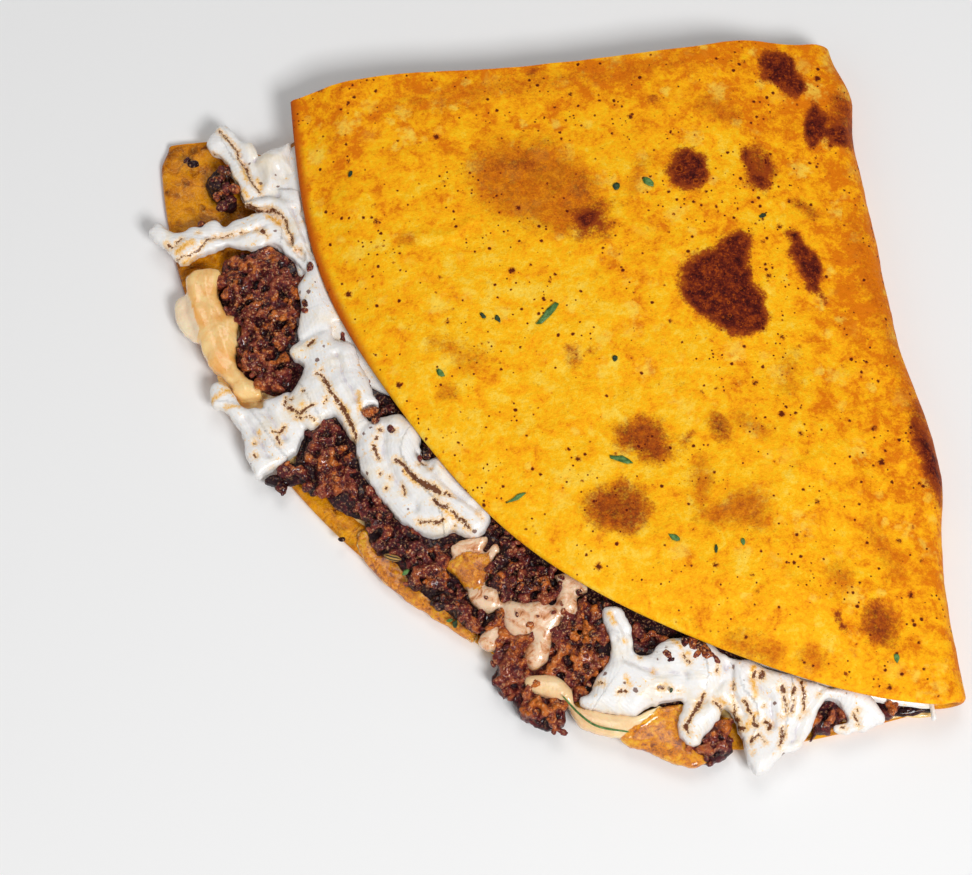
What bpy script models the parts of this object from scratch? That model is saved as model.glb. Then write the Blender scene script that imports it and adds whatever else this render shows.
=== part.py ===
"""Folded quesadilla wedge: a flour tortilla folded off-centre over its filling and cut across the fold.

The wedge lies flat. Its fold runs along +X's side, its straight cut faces +Y, and its round edge faces
-X and -Y. From the bottom up it is the lower flap of the tortilla, melted cheese, ground beef, white
cheese, and the upper flap. The lower flap is longer, so a crescent of filling shows past the upper one.

Plan coordinates are millimetres: "along" runs down the fold from the cut, "across" runs from the fold
towards the round edge. They become -Y and -X of the part.
"""
import math

import bmesh
import bpy
from mathutils import Vector, noise

MM = 0.001

# Driving dimensions, millimetres and degrees
TORTILLA_THICKNESS = 1.9
FOLD_RADIUS = 3.9             # of the sheet's middle surface, where it turns from flap to flap
FOLD_LENGTH = 133.0
DOME_RISE = 3.7               # how much higher the upper flap stands over the filling than at the fold
DOME_RUN = 27.0
RIM_DROOP = 1.5               # the upper flap's round edge turns down
RIM_DROOP_NEAR_CUT = 1.1      # and a little more towards the cut
RIM_DROOP_RUN = 0.11          # share of the flap's radius over which it turns down
DROOP_NEAR_CUT_FROM = 45.0    # degrees from the fold
DROOP_NEAR_CUT_RUN = 30.0
WAVE_HEIGHT = 0.45
WAVE_ALONG = 13.0             # the waves' lengths over a full turn in radians
WAVE_LEAN = 31.0
WAVE_ACROSS = 16.0
WAVE_OFFSET = 0.6
BUMP_SIZE = 19.0
BUMP_SHARE = 0.6
BUMP_SLICE = 2.5              # where the bumps are read from the noise field
LAYER_GAP = 0.35              # between touching layers
WHITE_GAP = 0.55              # under the white cheese, whose lobes lie over the crumbs
WHITE_BED = 5.0               # how far past the white cheese the beef under it stays level
WHITE_BED_RUN = 4.0
FLAP_GAP = 0.65               # between the filling and the upper flap's underside

UPPER_EDGE_RADIUS = 125.7     # round edge of the upper flap: a circle about a point off the apex
UPPER_EDGE_CENTRE = (10.0, -20.1)
UPPER_EDGE_WAVE = 0.5
UPPER_EDGE_WAVES = 11.0       # per radian
LOWER_EDGE_RADIUS = 131.0     # round edge of the lower flap, about the apex, with a fuller part
LOWER_EDGE_SWELL = 5.0
LOWER_EDGE_LOBE = (21.0, 13.0, 7.5)      # angle, half width, reach

# How far the fold line and the cut edge bow outwards: (place, half width, reach)
FOLD_BOWS = ((11.0, 10.0, 2.3), (84.0, 26.0, 3.6))
CUT_BOWS = ((52.0, 38.0, 2.0), (17.0, 7.0, 1.7))
BOW_RUN = 32.0

FLAP_STEPS = 19
FOLD_STEPS = 5
LAYER_STEPS = 72
CROSSING_ROUNDS = 12          # of the search for where a spoke meets an edge
UNDER_FLAP_RINGS = (0.34, 0.66, 0.86, 0.975)        # shares of the upper flap's reach
CRESCENT_RINGS = (0.05, 0.22, 0.38, 0.54, 0.70, 0.85, 1.0)     # shares of the crescent's width
OVERHANG_RING = 4.6
OVERHANG_FULL_SHARE = 0.5     # a reach this far past 1 gets the whole overhang
HANG_SLOPE = 0.4              # how an overhanging layer's underside falls past the lower flap's edge
HANG_DEPTH = 1.7
LEAST_STEP = 0.6              # between a layer's outline and the ring inside it
CRESCENT_LEAST_WIDTH = 4.0

FILLING_START = (0.3, 1.3)    # the filling's inner corner, from the cut and from the fold's centre
FILLING_HEIGHT_AT_EDGE = 6.4
EDGE_RUN = 5.0                # over which a layer's top rounds down to its outline
MELTED_SHARE = 0.16           # of the filling's height
MELTED_LEAST = 0.9
MELTED_EDGE_DROP = 0.2
BEEF_LEAST = 0.8
BEEF_EDGE_DROP = 1.0
WHITE_SHARE = 0.24
CRUMB_SIZE = 9.0
CRUMB_HEIGHT = 3.0
CRUMB_SPREAD = 0.7            # a crumb's half width as a share of its size
CRUMB_DIP = 0.25              # how far the gaps between crumbs sink, as a share of their height
WHITE_BODY = 1.5              # how much thicker the white cheese is where it has run out past the flap
WHITE_RISE_RUN = 0.3          # share of the crescent over which it thickens
WHITE_EDGE = 0.9
WHITE_FOLD_HEIGHT = 0.55
WHITE_FOLD_ANGLE = 4.4

# How far each layer reaches, at angles from the fold towards the cut. A reach of 0 is the upper
# flap's edge and 1 is the lower flap's edge; past 1 the layer hangs over by the share that is left.
MELTED_REACH = ((0, 0.4), (8, 0.7), (14, 0.75), (19, 0.9), (22, 1.05), (28, 1.04), (32, 0.7), (38, 0.85),
                (45, 0.55), (52, 0.8), (58, 0.9), (62, 1.08), (68, 1.12), (76, 1.10), (80, 0.8), (90, 0.35))
BEEF_REACH = ((0, 0.0), (3, 0.75), (8, 1.08), (12, 0.8), (15, 0.85), (18, 1.42), (20.5, 0.9), (25, 0.72),
              (28, 0.8), (31, 1.25), (33, 0.98), (35, 1.2), (37.5, 0.85), (43, 0.72), (50, 0.74), (54, 0.86),
              (58, 1.02), (61, 0.7), (66, 0.62), (71, 0.66), (78, 0.62), (82, 0.35), (90, 0.3))
WHITE_REACH = ((0, -0.1), (2.5, 0.9), (4.5, 0.2), (8, 0.85), (12.5, 0.95), (14.5, 1.46), (16.5, 0.6),
               (18, 0.65), (20, 1.02), (24, 0.8), (28.5, 0.82), (31, 0.12), (38, 0.0), (41, 0.3), (45, 0.42),
               (50, 0.34), (54, 0.24), (58, 0.9), (62, 1.1), (65.5, 1.12), (68, 0.3), (73, 0.16), (77, 0.5),
               (80, 1.18), (82.5, 1.1), (85, 0.36), (88, 0.55), (90, 0.5))

MATERIALS = {
    "tortilla": ((0.86, 0.42, 0.035), 0.55),
    "melted_cheese": ((0.80, 0.52, 0.26), 0.3),
    "ground_beef": ((0.12, 0.03, 0.012), 0.35),
    "white_cheese": ((0.88, 0.84, 0.78), 0.3),
}


def smooth_step(value):
    """Ease from 0 to 1 with level ends."""
    value = min(max(value, 0.0), 1.0)
    return value * value * (3.0 - 2.0 * value)


def bell(value, centre, half_width):
    """A rounded bump of height 1."""
    return math.exp(-((value - centre) / half_width) ** 2)


def eased_reach(table, degrees):
    """Read a reach at an angle, easing from one named angle to the next."""
    for (angle_a, reach_a), (angle_b, reach_b) in zip(table, table[1:]):
        if degrees <= angle_b:
            return reach_a + (reach_b - reach_a) * smooth_step((degrees - angle_a) / (angle_b - angle_a))
    return table[-1][1]


def upper_edge(angle):
    """Distance from the apex to the upper flap's round edge."""
    centre_along, centre_across = UPPER_EDGE_CENTRE
    toward = centre_along * math.cos(angle) + centre_across * math.sin(angle)
    offset_squared = centre_along ** 2 + centre_across ** 2
    reach = toward + math.sqrt(UPPER_EDGE_RADIUS ** 2 - offset_squared + toward ** 2)
    return reach + UPPER_EDGE_WAVE * math.sin(UPPER_EDGE_WAVES * angle + WAVE_OFFSET)


def lower_edge(angle):
    """Distance from the apex to the lower flap's round edge."""
    centre, half_width, reach = LOWER_EDGE_LOBE
    lobe = reach * bell(math.degrees(angle), centre, half_width)
    return LOWER_EDGE_RADIUS + LOWER_EDGE_SWELL * math.sin(2.0 * angle) + lobe


def fold_centre():
    """Distance across from the fold's outer face to the centre of its bend."""
    return FOLD_RADIUS + TORTILLA_THICKNESS / 2.0


def upper_surface(along, across):
    """Height of the upper flap's middle surface."""
    inward = across - fold_centre()
    angle = math.atan2(max(across, 0.0), max(along, 0.0))
    share = math.hypot(along, across) / upper_edge(angle)
    cover = smooth_step(inward / DOME_RUN)
    height = TORTILLA_THICKNESS / 2.0 + 2.0 * FOLD_RADIUS + DOME_RISE * cover
    waves = math.sin(along / WAVE_ALONG + across / WAVE_LEAN) * math.cos(across / WAVE_ACROSS - WAVE_OFFSET)
    waves += BUMP_SHARE * noise.noise(Vector((along / BUMP_SIZE, across / BUMP_SIZE, BUMP_SLICE)))
    near_cut = smooth_step((math.degrees(angle) - DROOP_NEAR_CUT_FROM) / DROOP_NEAR_CUT_RUN)
    droop = RIM_DROOP + RIM_DROOP_NEAR_CUT * near_cut
    edge = smooth_step((share - 1.0 + RIM_DROOP_RUN) / RIM_DROOP_RUN)
    return height + WAVE_HEIGHT * waves * cover - droop * edge * cover


def bowed(along, across, upper_share):
    """Move a point near the fold or the cut outwards, to the tortilla's slightly uneven outline."""
    near_fold = 1.0 - smooth_step((across - fold_centre()) / BOW_RUN)
    near_cut = 1.0 - smooth_step(along / BOW_RUN)
    fold_bow = sum(reach * bell(along, place, width) for place, width, reach in FOLD_BOWS)
    cut_bow = sum(reach * bell(across, place, width) for place, width, reach in CUT_BOWS)
    return along - cut_bow * near_cut * upper_share, across - fold_bow * near_fold


def to_part(along, across, height):
    """Plan coordinates in millimetres to the part's metres, before it is centred."""
    return Vector((-across * MM, -along * MM, height * MM))


def flap_point(step_along, step_across, edge):
    """A flap's grid point: rings about the fold's end at the cut, fitted to the flap's round edge."""
    ring = max(step_along, step_across)
    if ring == 0:
        return 0.0, fold_centre()
    if step_along >= step_across:
        turn = step_across / (2.0 * ring)
    else:
        turn = 1.0 - step_along / (2.0 * ring)
    start = math.asin(fold_centre() / FOLD_LENGTH)
    angle = start + turn * (math.pi / 2.0 - start)
    reach = edge(angle) * ring / FLAP_STEPS
    along = reach * math.cos(angle)
    across = fold_centre() + (edge(angle) * math.sin(angle) - fold_centre()) * ring / FLAP_STEPS
    return along, across


def tortilla_rows():
    """Rows of the sheet's middle surface, from the lower flap round the fold to the upper flap."""
    rows = []
    for step_across in range(FLAP_STEPS, 0, -1):
        row = []
        for step_along in range(FLAP_STEPS + 1):
            along, across = flap_point(step_along, step_across, lower_edge)
            row.append((*bowed(along, across, 0.0), TORTILLA_THICKNESS / 2.0))
        rows.append(row)
    for step in range(FOLD_STEPS + 1):
        turn = math.pi * (step / FOLD_STEPS - 0.5)
        upper_share = step / FOLD_STEPS
        row = []
        for step_along in range(FLAP_STEPS + 1):
            lower_along = flap_point(step_along, 0, lower_edge)[0]
            upper_along = flap_point(step_along, 0, upper_edge)[0]
            along = lower_along + (upper_along - lower_along) * upper_share
            across = fold_centre() - FOLD_RADIUS * math.cos(turn)
            height = TORTILLA_THICKNESS / 2.0 + FOLD_RADIUS * (1.0 + math.sin(turn))
            row.append((*bowed(along, across, upper_share), height))
        rows.append(row)
    for step_across in range(1, FLAP_STEPS + 1):
        row = []
        for step_along in range(FLAP_STEPS + 1):
            along, across = flap_point(step_along, step_across, upper_edge)
            row.append((*bowed(along, across, 1.0), upper_surface(along, across)))
        rows.append(row)
    return rows


def add_object(name, mesh_data):
    """Turn a bmesh into a named object with its material and smooth faces."""
    mesh = bpy.data.meshes.new(name)
    mesh_data.to_mesh(mesh)
    mesh_data.free()
    mesh.shade_smooth()
    colour, roughness = MATERIALS[name]
    material = bpy.data.materials.new(name)
    material.use_nodes = True
    shader = material.node_tree.nodes["Principled BSDF"]
    shader.inputs["Base Color"].default_value = (*colour, 1.0)
    shader.inputs["Roughness"].default_value = roughness
    mesh.materials.append(material)
    obj = bpy.data.objects.new(name, mesh)
    bpy.context.collection.objects.link(obj)
    return obj


def build_tortilla():
    """The folded sheet: one surface through both flaps and the fold, thickened."""
    mesh_data = bmesh.new()
    rows = [[mesh_data.verts.new(to_part(*point)) for point in row] for row in tortilla_rows()]
    for row_a, row_b in zip(rows, rows[1:]):
        for step in range(FLAP_STEPS):
            mesh_data.faces.new((row_a[step], row_a[step + 1], row_b[step + 1], row_b[step]))
    bmesh.ops.recalc_face_normals(mesh_data, faces=mesh_data.faces)
    obj = add_object("tortilla", mesh_data)
    solidify = obj.modifiers.new("thickness", "SOLIDIFY")
    solidify.thickness = TORTILLA_THICKNESS * MM
    solidify.offset = 0.0
    solidify.use_even_offset = True
    return obj


class Spoke:
    """One direction out from the filling's inner corner, with what each layer does along it."""

    def __init__(self, index):
        self.turn = math.pi / 2.0 * index / LAYER_STEPS
        self.start = (FILLING_START[0], fold_centre() + FILLING_START[1])
        self.upper = self.crossing(upper_edge)
        self.lower = self.crossing(lower_edge)
        self.width = max(self.lower - self.upper, CRESCENT_LEAST_WIDTH)

    def place(self, distance):
        """Plan point at a distance from the inner corner."""
        along, across = self.start
        return along + distance * math.cos(self.turn), across + distance * math.sin(self.turn)

    def crossing(self, edge):
        """Distance at which this spoke meets a flap's round edge."""
        distance = LOWER_EDGE_RADIUS
        for _ in range(CROSSING_ROUNDS):
            along, across = self.place(distance)
            distance += edge(math.atan2(across, along)) - math.hypot(along, across)
        return distance

    def degrees(self):
        """Angle of the crescent along this spoke, seen from the apex."""
        along, across = self.place(self.upper)
        return math.degrees(math.atan2(across, along))

    def rings(self):
        """Distances of the lattice points, from the inner corner to the overhang."""
        under = [share * self.upper for share in UNDER_FLAP_RINGS]
        outside = [self.upper + share * self.width for share in CRESCENT_RINGS]
        return under + outside + [self.upper + self.width + OVERHANG_RING]

    def reach(self, table):
        """How far out a layer goes: its share of the crescent, and past the edge in millimetres."""
        share = eased_reach(table, self.degrees())
        overhang = max(share - 1.0, 0.0) * OVERHANG_RING / OVERHANG_FULL_SHARE
        return self.upper + min(share, 1.0) * self.width + min(overhang, OVERHANG_RING)

    def crescent_share(self, distance):
        """0 at the upper flap's edge, 1 at the lower flap's edge."""
        return (distance - self.upper) / self.width

    def ceiling(self, distance):
        """Highest the filling may stand."""
        inner = min(distance, self.upper)
        top = upper_surface(*self.place(inner)) - TORTILLA_THICKNESS / 2.0 - FLAP_GAP
        fall = smooth_step(self.crescent_share(distance))
        return top + (FILLING_HEIGHT_AT_EDGE - top) * fall

    def floor(self, distance):
        """Underside of the lowest layer: on the lower flap, and lower where it hangs past it."""
        past = max(distance - self.upper - self.width, 0.0)
        return TORTILLA_THICKNESS + LAYER_GAP - min(HANG_SLOPE * past, HANG_DEPTH)

    def covered(self, distance):
        """1 where white cheese lies over the beef, 0 well outside it."""
        return 1.0 - smooth_step((distance - self.reach(WHITE_REACH) - WHITE_BED) / WHITE_BED_RUN)

    def edge_drop(self, distance, table, depth):
        """How much a layer's top rounds down towards its own outline."""
        return depth * (1.0 - smooth_step((self.reach(table) - distance) / EDGE_RUN))

    def melted_top(self, distance):
        """Top of the melted cheese."""
        height = self.ceiling(distance) - self.floor(distance)
        thick = max(MELTED_SHARE * height, MELTED_LEAST)
        return self.floor(distance) + thick - self.edge_drop(distance, MELTED_REACH, MELTED_EDGE_DROP)

    def beef_bottom(self, distance):
        """Underside of the beef: on the melted cheese, or on the tortilla past its outline."""
        return self.melted_top(distance) + LAYER_GAP

    def beef_top(self, distance):
        """Top of the beef: level under the white cheese, in crumbs where it shows."""
        along, across = self.place(distance)
        height = self.ceiling(distance) - self.floor(distance)
        level = self.floor(distance) + (1.0 - WHITE_SHARE) * height - LAYER_GAP
        cell = noise.voronoi(Vector((along / CRUMB_SIZE, across / CRUMB_SIZE, 0.0)))[0][0]
        crumb = CRUMB_HEIGHT * (max(1.0 - (cell / CRUMB_SPREAD) ** 2, 0.0) - CRUMB_DIP)
        level += crumb * (1.0 - self.covered(distance))
        level -= self.edge_drop(distance, BEEF_REACH, BEEF_EDGE_DROP)
        return max(level, self.beef_bottom(distance) + BEEF_LEAST)

    def white_bottom(self, distance):
        """Underside of the white cheese."""
        return self.beef_top(distance) + WHITE_GAP

    def white_top(self, distance):
        """Top of the white cheese, pillowed at its lobes."""
        height = self.ceiling(distance) - self.floor(distance)
        out = smooth_step((self.crescent_share(distance) - CRESCENT_RINGS[0]) / WHITE_RISE_RUN)
        fold = WHITE_FOLD_HEIGHT * math.cos(self.degrees() * 2.0 * math.pi / WHITE_FOLD_ANGLE)
        thick = WHITE_SHARE * height + out * (WHITE_BODY + fold)
        thick -= self.edge_drop(distance, WHITE_REACH, thick - WHITE_EDGE)
        return self.white_bottom(distance) + thick


def build_layer(name, reach_table, bottom, top):
    """A filling layer as a closed slab over a lattice of spokes and rings."""
    mesh_data = bmesh.new()
    spokes = [Spoke(index) for index in range(LAYER_STEPS + 1)]
    hub = spokes[0]
    hub_place = hub.place(0.0)
    hub_low = mesh_data.verts.new(to_part(*hub_place, bottom(hub, 0.0)))
    hub_high = mesh_data.verts.new(to_part(*hub_place, top(hub, 0.0)))
    low, high = [], []
    for spoke in spokes:
        distances = []
        for distance in spoke.rings():
            if distance > spoke.reach(reach_table) - LEAST_STEP:
                distances.append(spoke.reach(reach_table))
                break
            distances.append(distance)
        low.append([mesh_data.verts.new(to_part(*spoke.place(d), bottom(spoke, d))) for d in distances])
        high.append([mesh_data.verts.new(to_part(*spoke.place(d), top(spoke, d))) for d in distances])
    for side, centre in ((low, hub_low), (high, hub_high)):
        for spoke_a, spoke_b in zip(side, side[1:]):
            mesh_data.faces.new((centre, spoke_a[0], spoke_b[0]))
            fill_between(mesh_data, spoke_a, spoke_b)
    for index in range(LAYER_STEPS):
        wall = (low[index][-1], low[index + 1][-1], high[index + 1][-1], high[index][-1])
        mesh_data.faces.new(wall)
    for index in (0, LAYER_STEPS):
        lower, upper = [hub_low] + low[index], [hub_high] + high[index]
        for step in range(len(lower) - 1):
            mesh_data.faces.new((lower[step], lower[step + 1], upper[step + 1], upper[step]))
    bmesh.ops.recalc_face_normals(mesh_data, faces=mesh_data.faces)
    return add_object(name, mesh_data)


def fill_between(mesh_data, spoke_a, spoke_b):
    """Join two neighbouring spokes ring by ring; a longer one's outer points fan to the other's end."""
    shared = min(len(spoke_a), len(spoke_b))
    for ring in range(shared - 1):
        mesh_data.faces.new((spoke_a[ring], spoke_a[ring + 1], spoke_b[ring + 1]))
        mesh_data.faces.new((spoke_a[ring], spoke_b[ring + 1], spoke_b[ring]))
    for ring in range(shared - 1, len(spoke_a) - 1):
        mesh_data.faces.new((spoke_a[ring], spoke_a[ring + 1], spoke_b[-1]))
    for ring in range(shared - 1, len(spoke_b) - 1):
        mesh_data.faces.new((spoke_b[ring], spoke_b[ring + 1], spoke_a[-1]))


def centre_on_origin(objects):
    """Put the origin at the middle of the whole box's bottom face."""
    bpy.context.view_layer.update()
    depsgraph = bpy.context.evaluated_depsgraph_get()
    corners = [Vector(corner) for obj in objects for corner in obj.evaluated_get(depsgraph).bound_box]
    low = Vector([min(corner[axis] for corner in corners) for axis in range(3)])
    high = Vector([max(corner[axis] for corner in corners) for axis in range(3)])
    shift = Vector((-(low.x + high.x) / 2.0, -(low.y + high.y) / 2.0, 0.0))
    for obj in objects:
        obj.location = shift


def main():
    """Clear the scene and build the wedge."""
    for obj in list(bpy.data.objects):
        bpy.data.objects.remove(obj, do_unlink=True)
    objects = [
        build_tortilla(),
        build_layer("melted_cheese", MELTED_REACH, Spoke.floor, Spoke.melted_top),
        build_layer("ground_beef", BEEF_REACH, Spoke.beef_bottom, Spoke.beef_top),
        build_layer("white_cheese", WHITE_REACH, Spoke.white_bottom, Spoke.white_top),
    ]
    centre_on_origin(objects)


main()
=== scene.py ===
"""Folded quesadilla wedge: the finished pieces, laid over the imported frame.

Plan coordinates are millimetres: "along" runs down the fold from the cut, "across" runs from the fold
towards the round edge, and heights stand on the table. Every piece is moved into the frame's metres.
"""

import logging
import math
from collections.abc import Callable, Sequence
from dataclasses import dataclass, field
from enum import Enum

import bmesh
import bpy
import numpy as np
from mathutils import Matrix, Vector, kdtree, noise


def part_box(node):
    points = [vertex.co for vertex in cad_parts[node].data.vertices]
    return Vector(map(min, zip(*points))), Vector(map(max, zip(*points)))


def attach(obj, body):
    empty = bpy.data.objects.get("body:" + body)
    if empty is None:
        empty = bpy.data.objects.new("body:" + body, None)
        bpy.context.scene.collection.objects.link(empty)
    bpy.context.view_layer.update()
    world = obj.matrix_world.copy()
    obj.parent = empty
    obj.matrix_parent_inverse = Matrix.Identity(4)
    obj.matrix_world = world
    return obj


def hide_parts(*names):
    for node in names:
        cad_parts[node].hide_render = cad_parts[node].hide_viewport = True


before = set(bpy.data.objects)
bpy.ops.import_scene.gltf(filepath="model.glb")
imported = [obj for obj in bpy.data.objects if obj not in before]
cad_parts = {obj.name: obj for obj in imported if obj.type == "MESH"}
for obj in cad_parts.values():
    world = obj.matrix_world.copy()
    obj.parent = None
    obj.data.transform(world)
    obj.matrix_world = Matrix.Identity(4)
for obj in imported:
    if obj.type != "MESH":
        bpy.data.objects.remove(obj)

MM = 0.001
TINY = 1e-9
BODY = "root"
LOG = logging.getLogger("quesadilla")

Array = np.ndarray
Piece = bpy.types.Object
Mesh = bpy.types.Mesh
Material = bpy.types.Material
NodeTree = bpy.types.NodeTree
Socket = bpy.types.NodeSocket
Colour = tuple[float, float, float]
Place = tuple[float, float]
Bow = tuple[float, float, float]
Path = tuple[Place, ...]
Body = tuple[Array, list]
Fields = dict[str, Array]


def smooth_step(value: Array | float) -> Array:
    """Ease from 0 to 1 with level ends."""
    value = np.clip(value, 0.0, 1.0)
    return value * value * (3.0 - 2.0 * value)


def bell(value: Array, centre: float, half_width: float) -> Array:
    """A rounded bump of height 1."""
    return np.exp(-(((value - centre) / half_width) ** 2))


def bumps(points: Array, size: float, layer: float = 0.0) -> Array:
    """Smooth seeded noise over points.

    Args:
        points: Array whose last axis holds three coordinates in millimetres.
        size: Width of one bump in millimetres.
        layer: Shift of the noise field, so that two patterns differ.

    Returns:
        Values from about -1 to 1, one for each point.
    """
    flat = points.reshape(-1, 3) / size + layer
    values = [noise.noise(place) for place in flat.tolist()]
    return np.array(values).reshape(points.shape[:-1])


def plan_bumps(along: Array, across: Array, size: float, layer: float = 0.0) -> Array:
    """Smooth seeded noise over plan points, one value for each."""
    along, across = np.broadcast_arrays(along, across)
    return bumps(np.stack([along, across, np.zeros_like(along)], axis=-1), size, layer)


def eased_reach(table: Sequence[Place], degrees: Array) -> Array:
    """Read a reach at angles, easing from one named angle to the next.

    Args:
        table: Angles in degrees and the reach at each.
        degrees: The angles to read.

    Returns:
        The reaches.
    """
    reach = np.full_like(degrees, table[0][1])
    for (angle_a, reach_a), (angle_b, reach_b) in zip(table, table[1:]):
        eased = reach_a + (reach_b - reach_a) * smooth_step((degrees - angle_a) / (angle_b - angle_a))
        reach = np.where(degrees > angle_a, eased, reach)
    return reach


def path_distance(along: Array, across: Array, path: Path) -> Array:
    """Distance from plan points to a path of one or more places.

    Args:
        along: Plan points, along.
        across: Plan points, across.
        path: The path.

    Returns:
        Distances in millimetres.
    """
    best = np.hypot(along - path[0][0], across - path[0][1])
    for (along_a, across_a), (along_b, across_b) in zip(path, path[1:]):
        run, rise = along_b - along_a, across_b - across_a
        share = ((along - along_a) * run + (across - across_a) * rise) / max(run * run + rise * rise, TINY)
        share = np.clip(share, 0.0, 1.0)
        gap = np.hypot(along - along_a - share * run, across - across_a - share * rise)
        best = np.minimum(best, gap)
    return best


def inside_outline(along: Array, across: Array, outline: Path) -> Array:
    """Whether plan points lie inside a closed outline.

    Args:
        along: Plan points, along.
        across: Plan points, across.
        outline: Places round the outline.

    Returns:
        True at the points inside.
    """
    inside = np.zeros(along.shape, dtype=bool)
    for (along_a, across_a), (along_b, across_b) in zip(outline, outline[1:] + outline[:1]):
        straddles = (across_a > across) != (across_b > across)
        rise = across_b - across_a if across_b != across_a else TINY
        crossing = along_a + (across - across_a) * (along_b - along_a) / rise
        inside ^= straddles & (along < crossing)
    return inside


def places(*numbers: float) -> Path:
    """Plan places from numbers given in pairs, along and across."""
    return tuple(zip(numbers[::2], numbers[1::2]))


def nearness(along: Array, across: Array, marks: Sequence, soft: float, wider: float = 0.0) -> Array:
    """How far plan points lie inside thin marks: 0 well outside, one half on their outlines, 1 inside.

    Args:
        along: Plan points, along.
        across: Plan points, across.
        marks: Each mark's half-width and its path.
        soft: Width of the mark's blurred outline.
        wider: Added to each half-width.

    Returns:
        The strongest mark's share at each point.
    """
    share = np.zeros(along.shape)
    for half_width, path in marks:
        share = np.maximum(share, 0.5 - (path_distance(along, across, path) - half_width - wider) / soft)
    return np.clip(share, 0.0, 1.0)


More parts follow.
